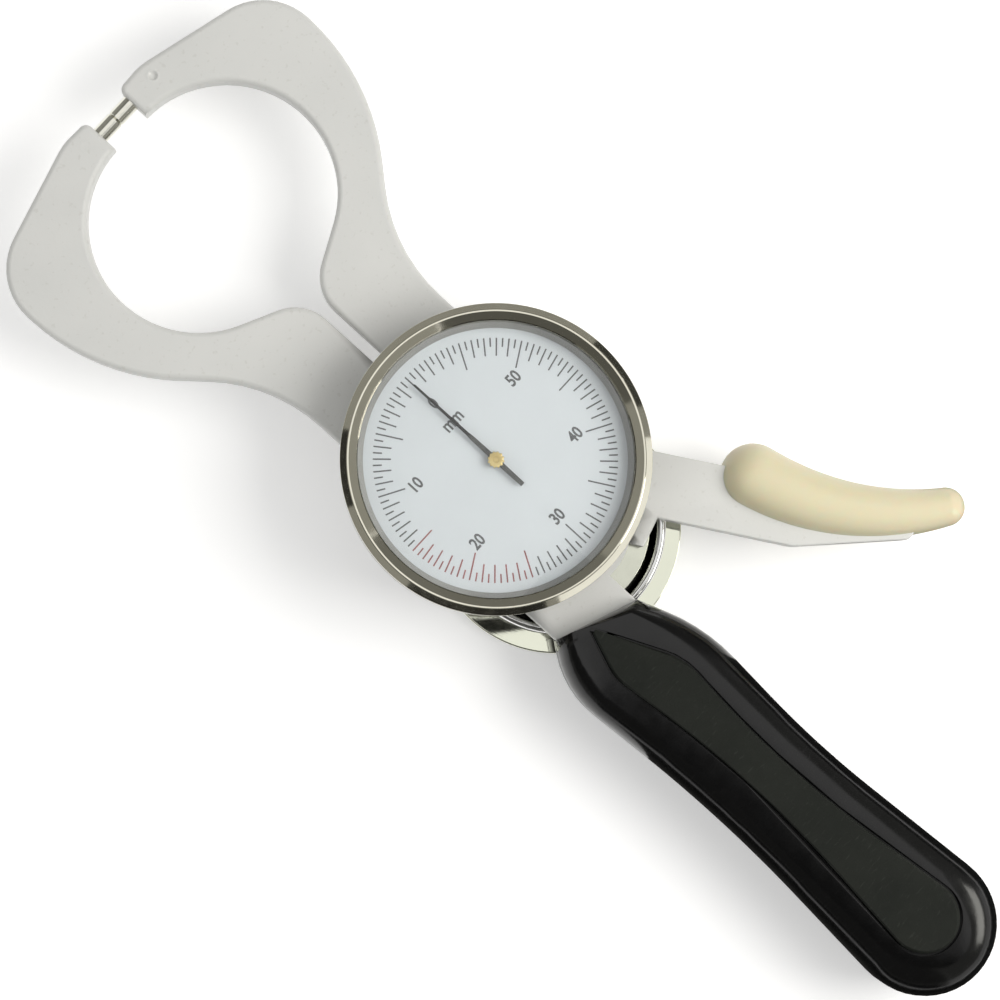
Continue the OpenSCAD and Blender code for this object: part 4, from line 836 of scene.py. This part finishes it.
def as_mesh(seed):
    """The plain mesh that a seed grows into. The seed itself goes."""
    bpy.context.scene.collection.objects.link(seed)
    depsgraph = bpy.context.evaluated_depsgraph_get()
    mesh = bpy.data.meshes.new_from_object(seed.evaluated_get(depsgraph), depsgraph=depsgraph)
    bpy.data.objects.remove(seed)
    return mesh


def on_dial(name, mesh):
    """A mesh of ink, made a piece that turns with the dial."""
    made = bpy.data.objects.new(name, mesh)
    bpy.context.scene.collection.objects.link(made)
    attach(made, "dial_body")


MARK = {"Turn Per Mark": math.radians(3), "Outer Radius": 23.6 * MM, "Long": 5.4 * MM, "Middling": 3.5 * MM,
        "Short": 1.73 * MM, "Width": 0.29 * MM, "Height": INK * MM, "Centre": (0, GAUGE_Y * MM, FACE_Z * MM)}


def ruled(name, first, count, ink):
    """A run of the dial's marks, counted from its top to the left."""
    seed = bpy.data.objects.new(name + "_seed", bpy.data.meshes.new(name + "_seed"))
    grower = seed.modifiers.new("grow", "NODES")
    grower.node_group = dial_marks
    values = {**MARK, "First Mark": first, "Count": count, "Ink": ink}
    for item in dial_marks.interface.items_tree:
        if item.in_out == "INPUT":
            grower[item.identifier] = values[item.name]
    on_dial(name, as_mesh(seed))


ruled("dark_marks", 51, 99, dark_ink)
ruled("red_marks", 30, 21, red_ink)

FIGURE_BOLD, FIGURE_NARROW = 0.085, 0.8


def printed(name, words, size, middle):
    """Printed figures, as a thin flat mesh on the dial."""
    curve = bpy.data.curves.new(name, "FONT")
    curve.body = words
    curve.size = size * MM
    curve.align_x = "CENTER"
    curve.align_y = "CENTER"
    curve.extrude = INK / 2 * MM
    curve.offset = FIGURE_BOLD * MM
    curve.resolution_u = 4
    mesh = as_mesh(bpy.data.objects.new(name + "_seed", curve))
    mesh.transform(Matrix.Translation((middle[0] * MM, middle[1] * MM, (FACE_Z + INK / 2) * MM))
                   @ Matrix.Diagonal((FIGURE_NARROW, 1, 1, 1)))
    shape = bmesh.new()
    shape.from_mesh(mesh)
    bmesh.ops.remove_doubles(shape, verts=shape.verts, dist=0.001 * MM)
    bmesh.ops.recalc_face_normals(shape, faces=shape.faces)
    shape.to_mesh(mesh)
    shape.free()
    mesh.materials.clear()
    mesh.materials.append(dark_ink)
    on_dial(name, mesh)


FIGURE_R = 16.1
for step in range(6):
    a = math.radians(60 * step)
    spot = (-FIGURE_R * math.sin(a), GAUGE_Y + FIGURE_R * math.cos(a))
    printed(f"figure_{step * 10}", str(step * 10), 3.4, spot)
printed("figure_unit", "mm", 3.7, (0.0, GAUGE_Y + 11.2))

# ---- pointer ----
# A thin sheet metal hand pressed on a fluted brass hub: black from its shoulder to its tip, bare grey
# metal from the shoulder through the hub to its flat tail.

pointer_finish, tree, shader, place = finish_tree("pointer_finish")
along_hand = node(tree, "ShaderNodeSeparateXYZ", {0: place}).outputs["Y"]
blacked = node(tree, "ShaderNodeMapRange", {"Value": along_hand, "From Min": 24.7 * MM, "From Max": 25.1 * MM})
tone = use(tree, uneven_tone, {"Place": place, "Colour": (0.07, 0.074, 0.07, 1),
                               "Other Colour": (0.045, 0.048, 0.045, 1),
                               "Patches": 700.0, "Smooth": 0.32, "Dull": 0.42})
hand = node(tree, "ShaderNodeMix",
            {"Factor": blacked.outputs[0], "A": tone.outputs["Colour"], "B": (0.004, 0.004, 0.004, 1)},
            data_type="RGBA")
tree.links.new(hand.outputs["Result"], shader.inputs["Base Color"])
tree.links.new(tone.outputs["Roughness"], shader.inputs["Roughness"])
shader.inputs["Specular IOR Level"].default_value = 0.12

HAND_LOW, HAND_HIGH, HAND_EDGE = 29.5, 29.75, 0.05
HUB_HIGH, FLUTES, FLUTE_DEEP = 30.25, 12, 0.09
# half widths of the hand, from its tail through the hub to its tip
half_hand = [(-7.0, 0.46), (-1.6, 0.52), (0.0, 1.3), (1.6, 0.5), (6.4, 0.44), (7.2, 0.33), (21.1, 0.22),
             (21.4, 0.1)]
outline = [(x, GAUGE_Y + y) for y, x in half_hand] + [(-x, GAUGE_Y + y) for y, x in reversed(half_hand)]
shape = bmesh.new()
layers = [[shape.verts.new(Vector((x, y, z)) * MM) for x, y in outline] for z in (HAND_LOW, HAND_HIGH)]
shape.faces.new(layers[0][::-1])
shape.faces.new(layers[1])
for i in range(len(outline)):
    j = (i + 1) % len(outline)
    shape.faces.new((layers[0][i], layers[0][j], layers[1][j], layers[1][i]))
bmesh.ops.recalc_face_normals(shape, faces=shape.faces)
top_rim = [edge for edge in shape.edges if all(v.co.z > (HAND_HIGH - HAND_EDGE) * MM for v in edge.verts)]
bmesh.ops.bevel(shape, geom=top_rim, offset=HAND_EDGE * MM, segments=2, profile=0.5, affect="EDGES")
piece("pointer_hand", shape, "pointer_body", pointer_finish, "pointer_black", "pointer")

hub_profile = rounded_profile([
    (0.5, HAND_HIGH, 0), (1.5, HAND_HIGH, 0.04), (1.5, HUB_HIGH, 0.16), (0.62, HUB_HIGH, 0.05), (0.5, 30.1, 0),
])
hub = turned(hub_profile, DIAL_AT, 120)
for corner in hub.verts:
    out = Vector((corner.co.x / MM - DIAL_AT[0], corner.co.y / MM - DIAL_AT[1]))
    if out.length > 1.2:
        grown_by = 1.02 + FLUTE_DEEP * math.cos(FLUTES * math.atan2(out.y, out.x))
        corner.co.x = (DIAL_AT[0] + out.x * grown_by) * MM
        corner.co.y = (DIAL_AT[1] + out.y * grown_by) * MM
piece("pointer_boss", hub, "pointer_body", brass, "brass", "pointer_hub")

# ---- dial ring, crystal and gasket ----
# A pale grey ring slopes up from the face to the crystal, a slightly domed clear window that a black
# gasket seals under the bezel's lip.

ring_grey = coat("ring_grey", (0.24, 0.24, 0.22), (0.20, 0.20, 0.185), patches=90.0, smooth=0.3, dull=0.42,
                 grain=2600.0, waves=300.0, share=0.3, depth=0.003)
ring_profile = rounded_profile([
    (25.5, FACE_Z, 0), (27.4, FACE_Z, 0), (27.4, 30.55, 0.1), (28.6, 30.55, 0.05), (28.6, 30.95, 0.05),
    (26.5, 30.95, 0.1), (25.5, 28.9, 0.1),
])
piece("dial_wall", turned(ring_profile, DIAL_AT), "dial_body", ring_grey, "ring_grey", "dial_ring")

clear, tree, shader, place = finish_tree("clear_crystal")
shader.inputs["Base Color"].default_value = (0.985, 0.99, 0.99, 1)
shader.inputs["Transmission Weight"].default_value = 1.0
shader.inputs["IOR"].default_value = 1.49
smear = use(tree, uneven_tone, {"Place": place, "Colour": (1, 1, 1, 1), "Other Colour": (1, 1, 1, 1),
                                "Patches": 60.0, "Smooth": 0.0, "Dull": 0.02})
tree.links.new(smear.outputs["Roughness"], shader.inputs["Roughness"])
lamp_through = node(tree, "ShaderNodeBsdfTransparent", {"Color": (0.96, 0.965, 0.965, 1)})
shadow_ray = node(tree, "ShaderNodeLightPath").outputs["Is Shadow Ray"]
glass_or_not = node(tree, "ShaderNodeMixShader", {0: shadow_ray, 1: shader.outputs[0], 2: lamp_through.outputs[0]})
tree.links.new(glass_or_not.outputs[0], tree.nodes["Material Output"].inputs["Surface"])
GLASS_R, GLASS_LOW, GLASS_EDGE, GLASS_RISE, DOME_STEPS = 28.55, 30.97, 32.25, 0.7, 16
ball = (GLASS_R ** 2 + GLASS_RISE ** 2) / (2 * GLASS_RISE)
dome_radii = [GLASS_R * (1 - step / DOME_STEPS) for step in range(DOME_STEPS + 1)]
dome = [(r, GLASS_EDGE + GLASS_RISE - ball + math.sqrt(ball ** 2 - r ** 2)) for r in dome_radii]
glass_profile = [Vector(p) for p in [(0.0, GLASS_LOW), (GLASS_R, GLASS_LOW)] + dome]
piece("glass", turned(glass_profile, DIAL_AT, 160), "dial_body", clear, "window", "crystal")

rubber = coat("black_rubber", (0.02, 0.02, 0.02), (0.03, 0.03, 0.03), patches=300.0, smooth=0.5, dull=0.6)
finish_cad(rubber, "crystal_gasket")

# ---- bezel ----
# A turned and nickel plated ring that snaps over the case and turns the dial with it: a plain skirt, a
# sloped band, a narrow crest and a cone down to the crystal.

bezel_profile = rounded_profile([
    (29.05, 27.35, 0.05), (30.0, 27.35, 0.2), (30.0, 32.85, 0.15), (28.75, 33.9, 0.12), (28.6, 34.0, 0.05),
    (28.3, 34.0, 0.1), (26.85, 33.25, 0.1), (26.6, 32.95, 0.1), (26.6, 32.55, 0.05),
    (28.6, 32.55, 0), (28.6, 30.9, 0), (29.05, 30.9, 0), (29.05, 29.55, 0), (29.4, 29.55, 0),
    (29.4, 28.65, 0), (29.05, 28.65, 0),
])
piece("bezel_ring", turned(bezel_profile, DIAL_AT, 256), "dial_body", nickel, "nickel_case", "bezel", crease=36.0)
